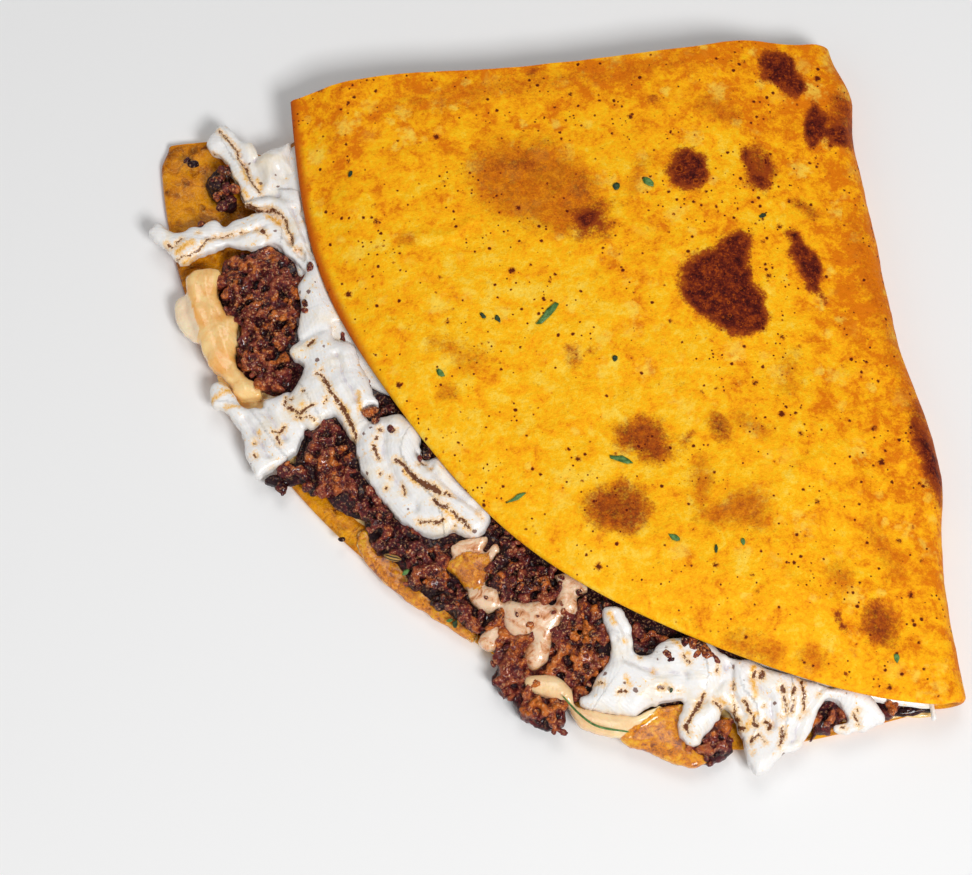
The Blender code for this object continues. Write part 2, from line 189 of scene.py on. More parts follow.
@dataclass(frozen=True)
class WedgePlan:
    """The wedge's outlines and heights, as its solids have them."""

    apex: Place
    thickness: float = 1.9
    fold_radius: float = 3.9
    fold_length: float = 133.0
    dome: Place = (3.7, 27.0)
    droop: tuple[float, float, float] = (1.5, 1.1, 0.11)
    droop_near_cut: Place = (45.0, 30.0)
    wave: tuple[float, float, float, float, float] = (0.45, 13.0, 31.0, 16.0, 0.6)
    bump: tuple[float, float, float] = (19.0, 0.6, 2.5)
    upper_radius: float = 125.7
    upper_centre: Place = (10.0, -20.1)
    upper_wave: Place = (0.5, 11.0)
    lower_radius: float = 131.0
    lower_swell: float = 5.0
    lower_lobe: tuple[float, float, float] = (21.0, 13.0, 7.5)
    fold_bows: tuple[Bow, ...] = ((11.0, 6.0, 2.0), (40.0, 42.0, 1.8), (87.0, 17.0, 3.9))
    cut_bows: tuple[Bow, ...] = ((88.0, 22.0, 2.9), (45.0, 30.0, 1.1), (17.0, 7.0, 1.5))
    bow_run: float = 32.0
    lower_notch: Bow = (110.0, 6.0, 5.0)
    lower_corner: Place = (88.0, 1.6)
    filling_start: Place = (0.3, 6.15)
    flap_gap: float = 0.65
    layer_gap: float = 0.35
    edge_height: float = 6.4
    overhang: float = 4.6
    hang: Place = (0.4, 1.7)
    least_crescent: float = 4.0

    @classmethod
    def from_frame(cls) -> "WedgePlan":
        """Find the fold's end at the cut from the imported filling.

        Returns:
            The plan.
        """
        _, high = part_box("melted_cheese")
        start = cls.filling_start
        return cls(apex=(high[0] / MM + start[1], high[1] / MM + start[0]))

    @property
    def fold_centre(self) -> float:
        """Distance across from the fold's outer face to the centre of its bend."""
        return self.fold_radius + self.thickness / 2.0

    def to_frame(self, along: Array, across: Array, height: Array) -> Array:
        """Plan coordinates in millimetres to the frame's metres, on a last axis of three."""
        along, across, height = np.broadcast_arrays(along, across, height)
        return np.stack([self.apex[0] - across, self.apex[1] - along, height], axis=-1) * MM

    def to_plan(self, points: Array) -> tuple[Array, Array, Array]:
        """The frame's metres to along, across and height in millimetres."""
        scaled = points / MM
        return self.apex[1] - scaled[..., 1], self.apex[0] - scaled[..., 0], scaled[..., 2]

    def upper_edge(self, angle: Array) -> Array:
        """Distance from the apex to the upper flap's round edge.

        Args:
            angle: Direction from the apex, in radians.

        Returns:
            The distance.
        """
        toward = self.upper_centre[0] * np.cos(angle) + self.upper_centre[1] * np.sin(angle)
        offset = self.upper_centre[0] ** 2 + self.upper_centre[1] ** 2
        reach = toward + np.sqrt(self.upper_radius**2 - offset + toward**2)
        height, waves = self.upper_wave
        return reach + height * np.sin(waves * angle + self.wave[4])

    def lower_edge(self, angle: Array) -> Array:
        """Distance from the apex to the lower flap's round edge.

        Args:
            angle: Direction from the apex, in radians.

        Returns:
            The distance.
        """
        centre, half_width, reach = self.lower_lobe
        lobe = reach * bell(np.degrees(angle), centre, half_width)
        start, cut_off = self.lower_corner
        rounded = cut_off * smooth_step((np.degrees(angle) - start) / (90.0 - start))
        return self.lower_radius + self.lower_swell * np.sin(2.0 * angle) + lobe - rounded

    def upper_surface(self, along: Array, across: Array) -> Array:
        """Height of the upper flap's middle surface.

        Args:
            along: Plan points, along.
            across: Plan points, across.

        Returns:
            The heights.
        """
        angle = np.arctan2(np.maximum(across, 0.0), np.maximum(along, 0.0))
        share = np.hypot(along, across) / self.upper_edge(angle)
        cover = smooth_step((across - self.fold_centre) / self.dome[1])
        height = self.thickness / 2.0 + 2.0 * self.fold_radius + self.dome[0] * cover
        tall, run, lean, side, offset = self.wave
        size, amount, layer = self.bump
        waves = np.sin(along / run + across / lean) * np.cos(across / side - offset)
        low_bumps = np.stack(np.broadcast_arrays(along, across, np.full_like(along, layer * size)), axis=-1)
        waves = waves + amount * bumps(low_bumps, size)
        near_cut = smooth_step((np.degrees(angle) - self.droop_near_cut[0]) / self.droop_near_cut[1])
        droop = self.droop[0] + self.droop[1] * near_cut
        edge = smooth_step((share - 1.0 + self.droop[2]) / self.droop[2])
        return height + tall * waves * cover - droop * edge * cover

    def bowed(self, along: Array, across: Array, upper: Array | float) -> Sequence[Array]:
        """Move points near the fold or the cut outwards, to the tortilla's slightly uneven outline.

        Args:
            along: Plan points, along.
            across: Plan points, across.
            upper: 0 on the lower flap, 1 on the upper flap.

        Returns:
            The moved points, along and across.
        """
        near_fold = 1.0 - smooth_step((across - self.fold_centre) / self.bow_run)
        near_cut = 1.0 - smooth_step(along / self.bow_run)
        fold_bow = sum(reach * bell(along, place, width) for place, width, reach in self.fold_bows)
        cut_bow = sum(reach * bell(across, place, width) for place, width, reach in self.cut_bows)
        place, width, reach = self.lower_notch
        notch = reach * bell(across, place, width)
        return along - (cut_bow * upper - notch * (1.0 - upper)) * near_cut, across - fold_bow * near_fold

    def ceiling(self, along: Array, across: Array) -> Array:
        """Highest that the filling stands at plan points, under the flap and out on the crescent.

        Args:
            along: Plan points, along.
            across: Plan points, across.

        Returns:
            The heights.
        """
        angle = np.arctan2(np.maximum(across, 0.0), np.maximum(along, 0.0))
        distance = np.hypot(along, across)
        upper, lower = self.upper_edge(angle), self.lower_edge(angle)
        shrink = np.minimum(upper / np.maximum(distance, 1e-6), 1.0)
        top = self.upper_surface(along * shrink, across * shrink) - self.thickness / 2.0 - self.flap_gap
        share = (distance - upper) / np.maximum(lower - upper, self.least_crescent)
        return top + (self.edge_height - top) * smooth_step(share)

    def flap_top(self, along: Array, across: Array) -> Array:
        """Height of the upper flap's outer face."""
        return self.upper_surface(along, across) + self.thickness / 2.0


@dataclass(frozen=True)
class LayerLattice:
    """Spokes and rings out from the filling's inner corner, fine where the filling shows."""

    plan: WedgePlan
    reach_table: tuple[Place, ...]
    spokes: int = 200
    hidden_rings: int = 24
    shown_rings: int = 30
    tucked: float = 6.0
    shrink: float = 0.0
    inner_share: float = 0.0
    search_rounds: int = 14

    def turns(self) -> Array:
        """Directions of the spokes."""
        return np.linspace(0.0, math.pi / 2.0, self.spokes + 1)

    def crossing(self, edge: Callable[[Array], Array]) -> Array:
        """Distance at which each spoke meets a flap's round edge.

        Args:
            edge: Distance from the apex to the flap's round edge, by angle.

        Returns:
            One distance for each spoke.
        """
        turns = self.turns()
        distance = np.full_like(turns, self.plan.lower_radius)
        for _ in range(self.search_rounds):
            along = self.plan.filling_start[0] + distance * np.cos(turns)
            across = self.plan.filling_start[1] + distance * np.sin(turns)
            distance = distance + edge(np.arctan2(across, along)) - np.hypot(along, across)
        return distance

    def grid(self) -> Fields:
        """Lay out the lattice.

        Returns:
            Arrays over spokes and rings: plan places, distance from the inner corner, the reach of the
            layer, the share of the crescent crossed and how far each point is inside the outline.
        """
        turns = self.turns()
        upper, lower = self.crossing(self.plan.upper_edge), self.crossing(self.plan.lower_edge)
        width = np.maximum(lower - upper, self.plan.least_crescent)
        along_edge = self.plan.filling_start[0] + upper * np.cos(turns)
        across_edge = self.plan.filling_start[1] + upper * np.sin(turns)
        degrees = np.degrees(np.arctan2(across_edge, along_edge))
        share = eased_reach(self.reach_table, degrees)
        overhang = np.clip((share - 1.0) * 2.0 * self.plan.overhang, 0.0, self.plan.overhang)
        reach = upper + np.minimum(share, 1.0) * width + overhang - self.shrink
        tuck = np.minimum(upper, reach) - self.tucked
        hidden = np.linspace(self.inner_share, 1.0, self.hidden_rings, endpoint=False)
        shown = np.linspace(0.0, 1.0, self.shown_rings + 1)
        inner = tuck[:, None] * hidden[None, :]
        outer = tuck[:, None] + (reach - tuck)[:, None] * shown[None, :]
        distance = np.concatenate([inner, outer], axis=1) if self.inner_share < 1.0 else outer
        along = self.plan.filling_start[0] + distance * np.cos(turns)[:, None]
        across = self.plan.filling_start[1] + distance * np.sin(turns)[:, None]
        past = np.maximum(distance - (upper + width)[:, None], 0.0)
        return {
            "along": along,
            "across": across,
            "distance": distance,
            "inside": reach[:, None] - distance,
            "share": (distance - upper[:, None]) / width[:, None],
            "floor": self.plan.thickness + self.plan.layer_gap
            - np.minimum(self.plan.hang[0] * past, self.plan.hang[1]),
            "degrees": np.broadcast_to(degrees[:, None], distance.shape),
        }


def grid_quads(rows: int, columns: int) -> Array:
    """Corner numbers of the faces of a grid of points, rows by columns by four."""
    index = np.arange(rows * columns).reshape(rows, columns)
    return np.stack([index[:-1, :-1], index[1:, :-1], index[1:, 1:], index[:-1, 1:]], axis=-1)


def grid_rim(rows: int, columns: int) -> Array:
    """Numbers of the points round the outside of a grid, in order."""
    index = np.arange(rows * columns).reshape(rows, columns)
    return np.concatenate([index[0, :], index[1:, -1], index[-1, -2::-1], index[-2:0:-1, 0]])


def ring_walls(rings: Sequence[Array]) -> list:
    """Faces between each closed ring of points and the next."""
    walls = []
    for low, high in zip(rings, rings[1:]):
        walls.extend(np.stack([low, np.roll(low, -1), np.roll(high, -1), high], axis=-1).tolist())
    return walls


def closed_slab(low: Array, high: Array, wall_rows: int, bulge: Callable) -> Body:
    """Close two matching sheets of points into one body.

    Args:
        low: Lower sheet, rows by columns by three, in metres.
        high: Upper sheet of the same size.
        wall_rows: Rows of points between the sheets in the wall round them.
        bulge: Gives the outward move of wall points from their places and their share of the height.

    Returns:
        Vertices and faces.
    """
    rows, columns = low.shape[:2]
    count = rows * columns
    quads = grid_quads(rows, columns).reshape(-1, 4)
    faces = (quads + count).tolist() + quads[:, ::-1].tolist()
    loop = grid_rim(rows, columns)
    flat_low, flat_high = low.reshape(-1, 3), high.reshape(-1, 3)
    run = flat_low[np.roll(loop, -1)] - flat_low[np.roll(loop, 1)]
    outward = np.stack([run[:, 1], -run[:, 0], np.zeros(len(loop))], axis=-1)
    outward = outward / np.maximum(np.linalg.norm(outward, axis=1, keepdims=True), TINY)
    outward *= np.sign(np.sum(outward * (flat_low[loop] - flat_low.mean(axis=0)), axis=1).sum() or 1.0)
    vertices, rings = [flat_low, flat_high], [loop]
    for step in range(wall_rows):
        share = (step + 1) / (wall_rows + 1)
        between = flat_low[loop] * (1.0 - share) + flat_high[loop] * share
        vertices.append(between + outward * bulge(between, share)[:, None])
        rings.append(2 * count + step * len(loop) + np.arange(len(loop)))
    return np.concatenate(vertices), faces + ring_walls([*rings, loop + count])


def build_mesh(name: str, vertices: Array, faces: Sequence, attributes: Fields) -> Mesh:
    """Make a mesh with outward faces and float attributes on its points.

    Args:
        name: Name of the mesh.
        vertices: Points in the frame's metres.
        faces: Vertex numbers of each face.
        attributes: One value for each vertex under each name.

    Returns:
        The new mesh, shaded smooth.
    """
    mesh = bpy.data.meshes.new(name)
    mesh.from_pydata(vertices.reshape(-1, 3).tolist(), [], faces)
    for label, values in attributes.items():
        stored = mesh.attributes.new(label, "FLOAT", "POINT")
        stored.data.foreach_set("value", values.astype(np.float32).ravel())
    editable = bmesh.new()
    editable.from_mesh(mesh)
    bmesh.ops.recalc_face_normals(editable, faces=editable.faces)
    editable.to_mesh(mesh)
    editable.free()
    mesh.shade_smooth()
    return mesh


def add_piece(name: str, mesh: Mesh, material: Material) -> Piece:
    """Put a mesh into the scene as a named piece with one material.

    Args:
        name: Name of the piece.
        mesh: Its mesh.
        material: Its material.

    Returns:
        The piece.
    """
    mesh.materials.clear()
    mesh.materials.append(material)
    piece = bpy.data.objects.new(name, mesh)
    bpy.context.collection.objects.link(piece)
    return piece


def remove_piece(piece: Piece) -> None:
    """Take a helper object out of the scene."""
    bpy.data.objects.remove(piece, do_unlink=True)


def plain_mesh(piece: Piece) -> Mesh:
    """The piece's mesh with its modifiers applied."""
    depsgraph = bpy.context.evaluated_depsgraph_get()
    evaluated = piece.evaluated_get(depsgraph)
    return bpy.data.meshes.new_from_object(evaluated, preserve_all_data_layers=True, depsgraph=depsgraph)


def points_of(mesh: Mesh) -> Array:
    """A mesh's points as an array of three columns."""
    points = np.empty(len(mesh.vertices) * 3, dtype=np.float32)
    mesh.vertices.foreach_get("co", points)
    return points.reshape(-1, 3).astype(float)


def normals_of(mesh: Mesh) -> Array:
    """The normals at a mesh's points as an array of three columns."""
    normals = np.empty(len(mesh.vertices) * 3, dtype=np.float32)
    mesh.vertex_normals.foreach_get("vector", normals)
    return normals.reshape(-1, 3)


def push(mesh: Mesh, lift: Array) -> None:
    """Move a mesh's points along their normals, by millimetres."""
    moved = points_of(mesh) + normals_of(mesh) * lift[:, None] * MM
    mesh.vertices.foreach_set("co", moved.astype(np.float32).ravel())
    mesh.update()


def set_attribute(mesh: Mesh, name: str, values: Array) -> None:
    """Store one value for each point of a mesh."""
    stored = mesh.attributes.get(name) or mesh.attributes.new(name, "FLOAT", "POINT")
    stored.data.foreach_set("value", values.astype(np.float32))


def hollows(mesh: Mesh, rounds: int = 2) -> Array:
    """How far each point lies below its neighbours, in millimetres along its normal.

    Args:
        mesh: The mesh.
        rounds: How often the depths are averaged over neighbours, so that wider hollows count.

    Returns:
        One depth for each point.
    """
    points, normals = points_of(mesh), normals_of(mesh)
    edges = np.empty(len(mesh.edges) * 2, dtype=np.int32)
    mesh.edges.foreach_get("vertices", edges)
    edges = edges.reshape(-1, 2)
    counts = np.maximum(np.bincount(edges.ravel(), minlength=len(points)), 1)

    def around(values: Array) -> Array:
        """Sum of the values at each point's neighbours."""
        total = np.zeros_like(values)
        for side_a, side_b in ((0, 1), (1, 0)):
            np.add.at(total, edges[:, side_a], values[edges[:, side_b]])
        return total

    depth = np.sum((around(points) / counts[:, None] - points) * normals, axis=1) / MM
    for _ in range(rounds):
        depth = (depth + around(depth)) / (counts + 1)
    return depth


class Bench:
    """Lays out the nodes of one tree."""

    def __init__(self, tree: NodeTree) -> None:
        """Start on a tree."""
        self.tree = tree

    def feed(self, socket: Socket, value: object) -> None:
        """Link or set an input.

        Args:
            socket: The input.
            value: A socket to link, a colour of three numbers, or another constant.
        """
        if isinstance(value, Socket):
            self.tree.links.new(value, socket)
        elif isinstance(value, tuple) and socket.type == "RGBA":
            socket.default_value = (*value, 1.0)
        else:
            socket.default_value = value

    def node(self, kind: str, inputs: dict, output: str | int, **settings: object) -> Socket:
        """Add a node.

        Args:
            kind: The node's type.
            inputs: What its inputs are fed, by name or number.
            output: Name or number of the output that is wanted.
            settings: Properties set on the node first.

        Returns:
            The wanted output.
        """
        node = self.tree.nodes.new(kind)
        for name, value in settings.items():
            setattr(node, name, value)
        for name, value in inputs.items():
            self.feed(node.inputs[name], value)
        return node.outputs[output]


class NodeBench(Bench):
    """Lays out one material's nodes."""

    def __init__(self, name: str) -> None:
        """Start a material with its shader and its object coordinates."""
        self.material = bpy.data.materials.new(name)
        self.material.use_nodes = True
        super().__init__(self.material.node_tree)
        self.shader = self.tree.nodes["Principled BSDF"]
        self.coordinates = self.tree.nodes.new("ShaderNodeTexCoord").outputs["Object"]

    def fixed(self, **values: float | tuple) -> None:
        """Set constants on the shader's own sockets, by their names in lower case with underscores."""
        for name, value in values.items():
            self.shader.inputs[name.replace("_", " ").title().replace("Ior", "IOR")].default_value = value

    def noise(self, size: float, detail: float = 4.0, rough: float = 0.55, warp: float = 0.0) -> Socket:
        """Noise.

        Args:
            size: Width of one bump in millimetres.
            detail: Layers of finer noise.
            rough: Strength of each finer layer.
            warp: How far the pattern is bent.

        Returns:
            Values round one half.
        """
        return self.node("ShaderNodeTexNoise", {
            "Vector": self.coordinates, "Scale": 1.0 / (size * MM), "Detail": detail, "Roughness": rough,
            "Distortion": warp}, "Fac")

    def grain(self, *shape: float) -> Socket:
        """Noise of the same arguments, centred on zero."""
        return self.minus(self.noise(*shape), 0.5)

    def cells(self, size: float) -> tuple[Socket, Socket]:
        """Scattered cells.

        Args:
            size: Width of one cell in millimetres.

        Returns:
            Distance to the middle of the nearest cell, in cell widths, and the cell's own random value.
        """
        near = {"Vector": self.coordinates, "Scale": 1.0 / (size * MM)}
        distance = self.node("ShaderNodeTexVoronoi", near, "Distance")
        colour = distance.node.outputs["Color"]
        return distance, self.node("ShaderNodeSeparateColor", {"Color": colour}, "Red")

    def attribute(self, name: str) -> Socket:
        """A value stored on the piece's points."""
        return self.node("ShaderNodeAttribute", {}, "Fac", attribute_name=name)

    def sums(self, operation: str, *values: object) -> Socket:
        """A Math node, named by its operation."""
        return self.node("ShaderNodeMath", dict(enumerate(values)), 0, operation=operation)

    def times(self, value: object, factor: object) -> Socket:
        """One value times another."""
        return self.sums("MULTIPLY", value, factor)

    def plus(self, base: object, more: object, share: float | None = None) -> Socket:
        """One value plus another, or plus a share of it."""
        return self.sums("ADD", base, more if share is None else self.times(more, share))

    def minus(self, base: object, less: object, share: float | None = None) -> Socket:
        """One value less another, or less a share of it."""
        return self.sums("SUBTRACT", base, less if share is None else self.times(less, share))

    def between(self, value: object, low: float, high: float, out: Place = (0.0, 1.0)) -> Socket:
        """Ease a value from one range into another.

        Args:
            value: The value.
            low: Start of its range.
            high: End of its range.
            out: Both ends of the new range.

        Returns:
            The eased value.
        """
        ends = {"Value": value, "From Min": low, "From Max": high, "To Min": out[0], "To Max": out[1]}
        return self.node("ShaderNodeMapRange", ends, "Result", interpolation_type="SMOOTHSTEP")

    def ramp(self, value: object, *stops: tuple[float, Colour]) -> Socket:
        """A colour ramp.

        Args:
            value: The value that is read.
            stops: Each position on the ramp and its colour.

        Returns:
            The colour.
        """
        colour = self.node("ShaderNodeValToRGB", {"Fac": value}, "Color")
        elements = colour.node.color_ramp.elements
        while len(elements) < len(stops):
            elements.new(1.0)
        for element, (position, tint) in zip(elements, stops):
            element.position = position
            element.color = (*tint, 1.0)
        return colour

    def mix(self, amount: object, colour_a: object, colour_b: object) -> Socket:
        """Mix two colours.

        Args:
            amount: Share of the second colour.
            colour_a: First colour.
            colour_b: Second colour.

        Returns:
            The colour.
        """
        return self.node("ShaderNodeMix", {0: amount, 6: colour_a, 7: colour_b}, 2, data_type="RGBA")

    def bump(self, height: object, depth: float, under: Socket | None = None) -> Socket:
        """A bump.

        Args:
            height: Its height, from 0 to 1.
            depth: What a height of 1 stands for, in millimetres.
            under: A bump that this one lies over.

        Returns:
            The bent normal.
        """
        inputs = {"Distance": depth * MM, "Height": height}
        if under is not None:
            inputs["Normal"] = under
        return self.node("ShaderNodeBump", inputs, "Normal")

    def finish(self, colour: object, rough: object, normal: Socket) -> Material:
        """Join the last values to the shader.

        Args:
            colour: Base colour.
            rough: Roughness.
            normal: The bumps.

        Returns:
            The finished material.
        """
        for name, value in (("Base Color", colour), ("Roughness", rough), ("Normal", normal)):
            self.feed(self.shader.inputs[name], value)
        return self.material


@dataclass(frozen=True)
class TortillaFinish:
    """Griddled flour tortilla: oily golden skin, toasted and scorched in places, greasy on its inside."""

    golden: Colour = (1.0, 0.41, 0.003)
    deep: Colour = (0.75, 0.19, 0.001)
    bright: Colour = (1.0, 0.52, 0.006)
    pale: Colour = (1.0, 0.68, 0.08)
    amber: Colour = (0.80, 0.25, 0.003)
    toasted: Colour = (0.56, 0.110, 0.002)
    rusty: Colour = (0.34, 0.048, 0.002)
    browned: Colour = (0.32, 0.050, 0.004)
    scorched: Colour = (0.038, 0.0022, 0.0025)
    ember: Colour = (0.13, 0.012, 0.004)
    speck: Colour = (0.085, 0.002, 0.001)
    dough: Colour = (0.90, 0.58, 0.17)
    grease: Colour = (0.52, 0.15, 0.002)
    dark_grease: Colour = (0.13, 0.022, 0.003)
    wet_grease: Colour = (0.80, 0.30, 0.002)
    painted_highlight: Colour = (0.92, 0.62, 0.18)

    def material(self) -> Material:
        """Build the material.

        Returns:
            The material.
        """
        bench = NodeBench("griddled tortilla")
        broad = bench.noise(13.0, 5.0, 0.6, 0.4)
        middle = bench.noise(3.4, 4.0, 0.6, 0.5)
        fine = bench.noise(0.8, 4.0, 0.7)
        mottle = bench.plus(bench.times(broad, 0.42), middle, 0.66)
        mottle = bench.minus(mottle, 0.04)
        mottle = bench.plus(mottle, bench.minus(fine, 0.5), 0.42)
        gritty = bench.times(bench.grain(0.32, 2.0, 0.7), 0.2)
        mottle = bench.plus(mottle, gritty)
        # Painted shade: the stored dull field darkens the skin by the fold and the cut.
        mottle = bench.minus(mottle, bench.attribute("dull"), 0.11)
        # Painted light: the stored bright field lightens the middle of the upper flap.
        mottle = bench.plus(mottle, bench.attribute("bright"), 0.075)
        stops = ((0.35, self.deep), (0.48, self.golden), (0.59, self.bright), (0.78, self.pale))
        colour = bench.ramp(mottle, *stops)
        colour = self.pale_flecks(bench, colour)
        # Toasted colour at the round rim; its stronger part towards the cut is painted shade where the rim
        # turns down.
        rim = bench.between(bench.plus(bench.attribute("rim"), fine, 0.3), 0.5, 1.2)
        colour = bench.mix(rim, colour, self.toasted)
        colour = self.browning(bench, colour)
        colour = self.specks(bench, colour)
        colour = bench.mix(bench.between(bench.attribute("dough"), 0.25, 0.8), colour, self.dough)
        colour, gloss = self.greased(bench, colour)
        rough = bench.between(gloss, 0.0, 1.0, (0.58, 0.2))
        skin = bench.bump(bench.noise(1.5, 5.0, 0.65), 0.34)
        skin = bench.bump(bench.times(bench.noise(0.9, 4.0, 0.6, 0.6), gloss), 0.3, skin)
        skin = bench.bump(bench.noise(0.36, 3.0, 0.6), 0.09, skin)
        bench.fixed(specular_ior_level=0.10, coat_roughness=0.16)
        bench.feed(bench.shader.inputs["Coat Weight"], bench.times(gloss, 0.16))
        return bench.finish(colour, rough, skin)

    def pale_flecks(self, bench: NodeBench, colour: object) -> object:
        """Soft pale blisters scattered over the skin.

        Args:
            bench: The material's bench.
            colour: The colour so far.

        Returns:
            The colour with the flecks.
        """
        for size, share in ((6.0, 0.60), (3.1, 0.72)):
            distance, pick = bench.cells(size)
            spot = bench.between(bench.plus(distance, bench.noise(1.1, 3.0)), 0.95, 0.55)
            amount = bench.times(spot, bench.between(pick, share, share + 0.2, (0.0, 0.62)))
            colour = bench.mix(amount, colour, self.pale)
        return colour

    def browning(self, bench: NodeBench, colour: object) -> object:
        """Toasted halos, browned patches and scorched marks, from stored fields with ragged outlines.

        Args:
            bench: The material's bench.
            colour: The colour so far.

        Returns:
            The colour with the marks.
        """
        ragged = bench.grain(2.4, 5.0, 0.65)
        grain = bench.grain(0.45, 3.0, 0.75)
        wobble = bench.plus(ragged, grain, 0.9)
        toast = bench.between(bench.plus(bench.attribute("toast"), wobble), 0.22, 1.0, (0.0, 0.85))
        spots = bench.plus(bench.noise(1.1, 5.0, 0.85), ragged, 0.35)
        tint = bench.ramp(spots, (0.36, self.rusty), (0.50, self.toasted), (0.66, self.amber))
        colour = bench.mix(toast, colour, tint)
        brown = bench.between(bench.plus(bench.attribute("brown"), wobble), 0.3, 1.05, (0.0, 0.92))
        colour = bench.mix(brown, colour, bench.ramp(spots, (0.36, self.ember), (0.52, self.browned),
                                                     (0.68, self.toasted)))
        heat = bench.plus(bench.attribute("char"), wobble)
        colour = bench.mix(bench.between(heat, 0.10, 0.55, (0.0, 0.96)), colour, self.browned)
        stops = ((0.36, self.scorched), (0.50, self.ember), (0.66, self.browned))
        inside = bench.ramp(bench.plus(bench.noise(2.0, 5.0, 0.8), grain, 0.55), *stops)
        spark = bench.between(bench.noise(0.5, 3.0, 0.7), 0.60, 0.68, (0.0, 0.55))
        inside = bench.mix(spark, inside, self.toasted)
        return bench.mix(bench.between(heat, 0.38, 0.82), colour, inside)

    def specks(self, bench: NodeBench, colour: object) -> object:
        """Dark specks of spice and char, ragged and bunched.

        Args:
            bench: The material's bench.
            colour: The colour so far.

        Returns:
            The colour with the specks.
        """
        bunch = bench.between(bench.noise(9.0, 3.0, 0.6), 0.38, 0.62, (-0.16, 0.10))
        for size, radius, share in ((1.4, 0.27, 0.56), (3.4, 0.20, 0.56), (0.8, 0.27, 0.76)):
            distance, pick = bench.cells(size)
            width = bench.between(bench.plus(pick, bunch), share, 1.0, (-0.05, radius))
            rough = bench.times(bench.noise(0.45, 3.0, 0.7), 0.42)
            near = bench.minus(bench.plus(width, 0.19), bench.plus(distance, rough))
            colour = bench.mix(bench.between(near, -0.10, 0.0, (0.0, 0.6)), colour, self.toasted)
            colour = bench.mix(bench.between(near, -0.03, 0.06, (0.0, 0.94)), colour, self.speck)
        return colour

    def greased(self, bench: NodeBench, colour: object) -> tuple[object, object]:
        """Sauce and fat soaked into the inner face, with thin painted highlights along its wrinkles.

        Args:
            bench: The material's bench.
            colour: The colour so far.

        Returns:
            The colour with the grease, and how greasy it is.
        """
        streaks = bench.noise(2.6, 5.0, 0.62, 1.2)
        level = bench.times(bench.minus(streaks, 0.5), 0.9)
        amount = bench.between(bench.plus(bench.attribute("stain"), level), 0.25, 0.75, (0.0, 0.92))
        tint = bench.noise(2.4, 4.0, 0.6, 0.8)
        tint = bench.plus(tint, bench.grain(7.0, 3.0), 0.6)
        tint = bench.ramp(tint, (0.32, self.dark_grease), (0.46, self.grease), (0.62, self.wet_grease))
        # Painted highlight: thin pale lines along the noise's ridges stand for light caught on wet wrinkles.
        painted_highlight_lines = bench.sums("ABSOLUTE", bench.grain(1.5, 3.0, 0.6, 1.4))
        tint = bench.mix(bench.between(painted_highlight_lines, 0.020, 0.004, (0.0, 0.35)), tint, self.painted_highlight)
        return bench.mix(amount, colour, tint), amount


@dataclass(frozen=True)
class WhiteCheeseFinish:
    """Fresh white melting cheese, glossy, drawn into fibres, with brown spice caught in its folds."""

    milk: Colour = (0.87, 0.85, 0.83)
    cream: Colour = (0.86, 0.72, 0.50)
    painted_hollow_shade: Colour = (0.56, 0.50, 0.56)
    ochre: Colour = (0.95, 0.48, 0.012)
    toffee: Colour = (0.50, 0.17, 0.006)
    spice: Colour = (0.13, 0.026, 0.003)

    def material(self) -> Material:
        """Build the material.

        Returns:
            The material.
        """
        bench = NodeBench("white cheese")
        soft = bench.noise(5.0, 4.0, 0.6, 0.5)
        fine = bench.grain(0.7, 4.0, 0.65)
        colour = bench.ramp(soft, (0.50, self.milk), (0.82, self.cream))
        # Painted shade: greyish lilac in the hollows of the cheese.
        hollow = bench.plus(bench.attribute("hollow"), fine, 0.8)
        colour = bench.mix(bench.between(hollow, 0.4, 1.3, (0.0, 0.7)), colour, self.painted_hollow_shade)
        freckle = bench.between(bench.noise(0.8, 4.0, 0.7), 0.57, 0.67)
        freckle = bench.times(freckle, bench.between(bench.noise(7.0, 3.0, 0.6), 0.48, 0.6, (0.0, 0.85)))
        colour = bench.mix(freckle, colour, self.ochre)
        grain = bench.grain(0.5, 4.0, 0.8)
        halo = bench.plus(bench.attribute("ochre"), grain, 1.5)
        colour = bench.mix(bench.between(halo, 0.34, 1.15, (0.0, 0.95)), colour, self.ochre)
        colour = bench.mix(bench.between(halo, 0.88, 1.3, (0.0, 0.75)), colour, self.toffee)
        dusted = bench.plus(bench.attribute("spice"), grain, 2.0)
        dust = bench.between(dusted, 0.50, 0.66, (0.0, 0.96))
        colour = bench.mix(dust, colour, self.spice)
        crumbs, pick = bench.cells(1.6)
        rough = bench.times(bench.noise(0.4, 3.0), 0.4)
        loose = bench.minus(bench.between(pick, 0.84, 1.0, (0.16, 0.5)), bench.plus(crumbs, rough))
        colour = bench.mix(bench.between(loose, -0.04, 0.06, (0.0, 0.85)), colour, self.spice)
        bench.feed(bench.shader.inputs["Coat Weight"], bench.between(dust, 0.0, 1.0, (0.3, 0.03)))
        strands = bench.plus(bench.times(bench.attribute("fibre"), 9.0), soft, 22.0)
        skin = bench.bump(bench.sums("SINE", strands), 0.012)
        skin = bench.bump(bench.noise(1.1, 4.0, 0.6), 0.16, skin)
        bench.fixed(subsurface_weight=0.12, subsurface_radius=(0.0012, 0.0010, 0.0008), coat_roughness=0.12,
                    specular_ior_level=0.4, subsurface_scale=1.0)
        return bench.finish(colour, 0.34, skin)


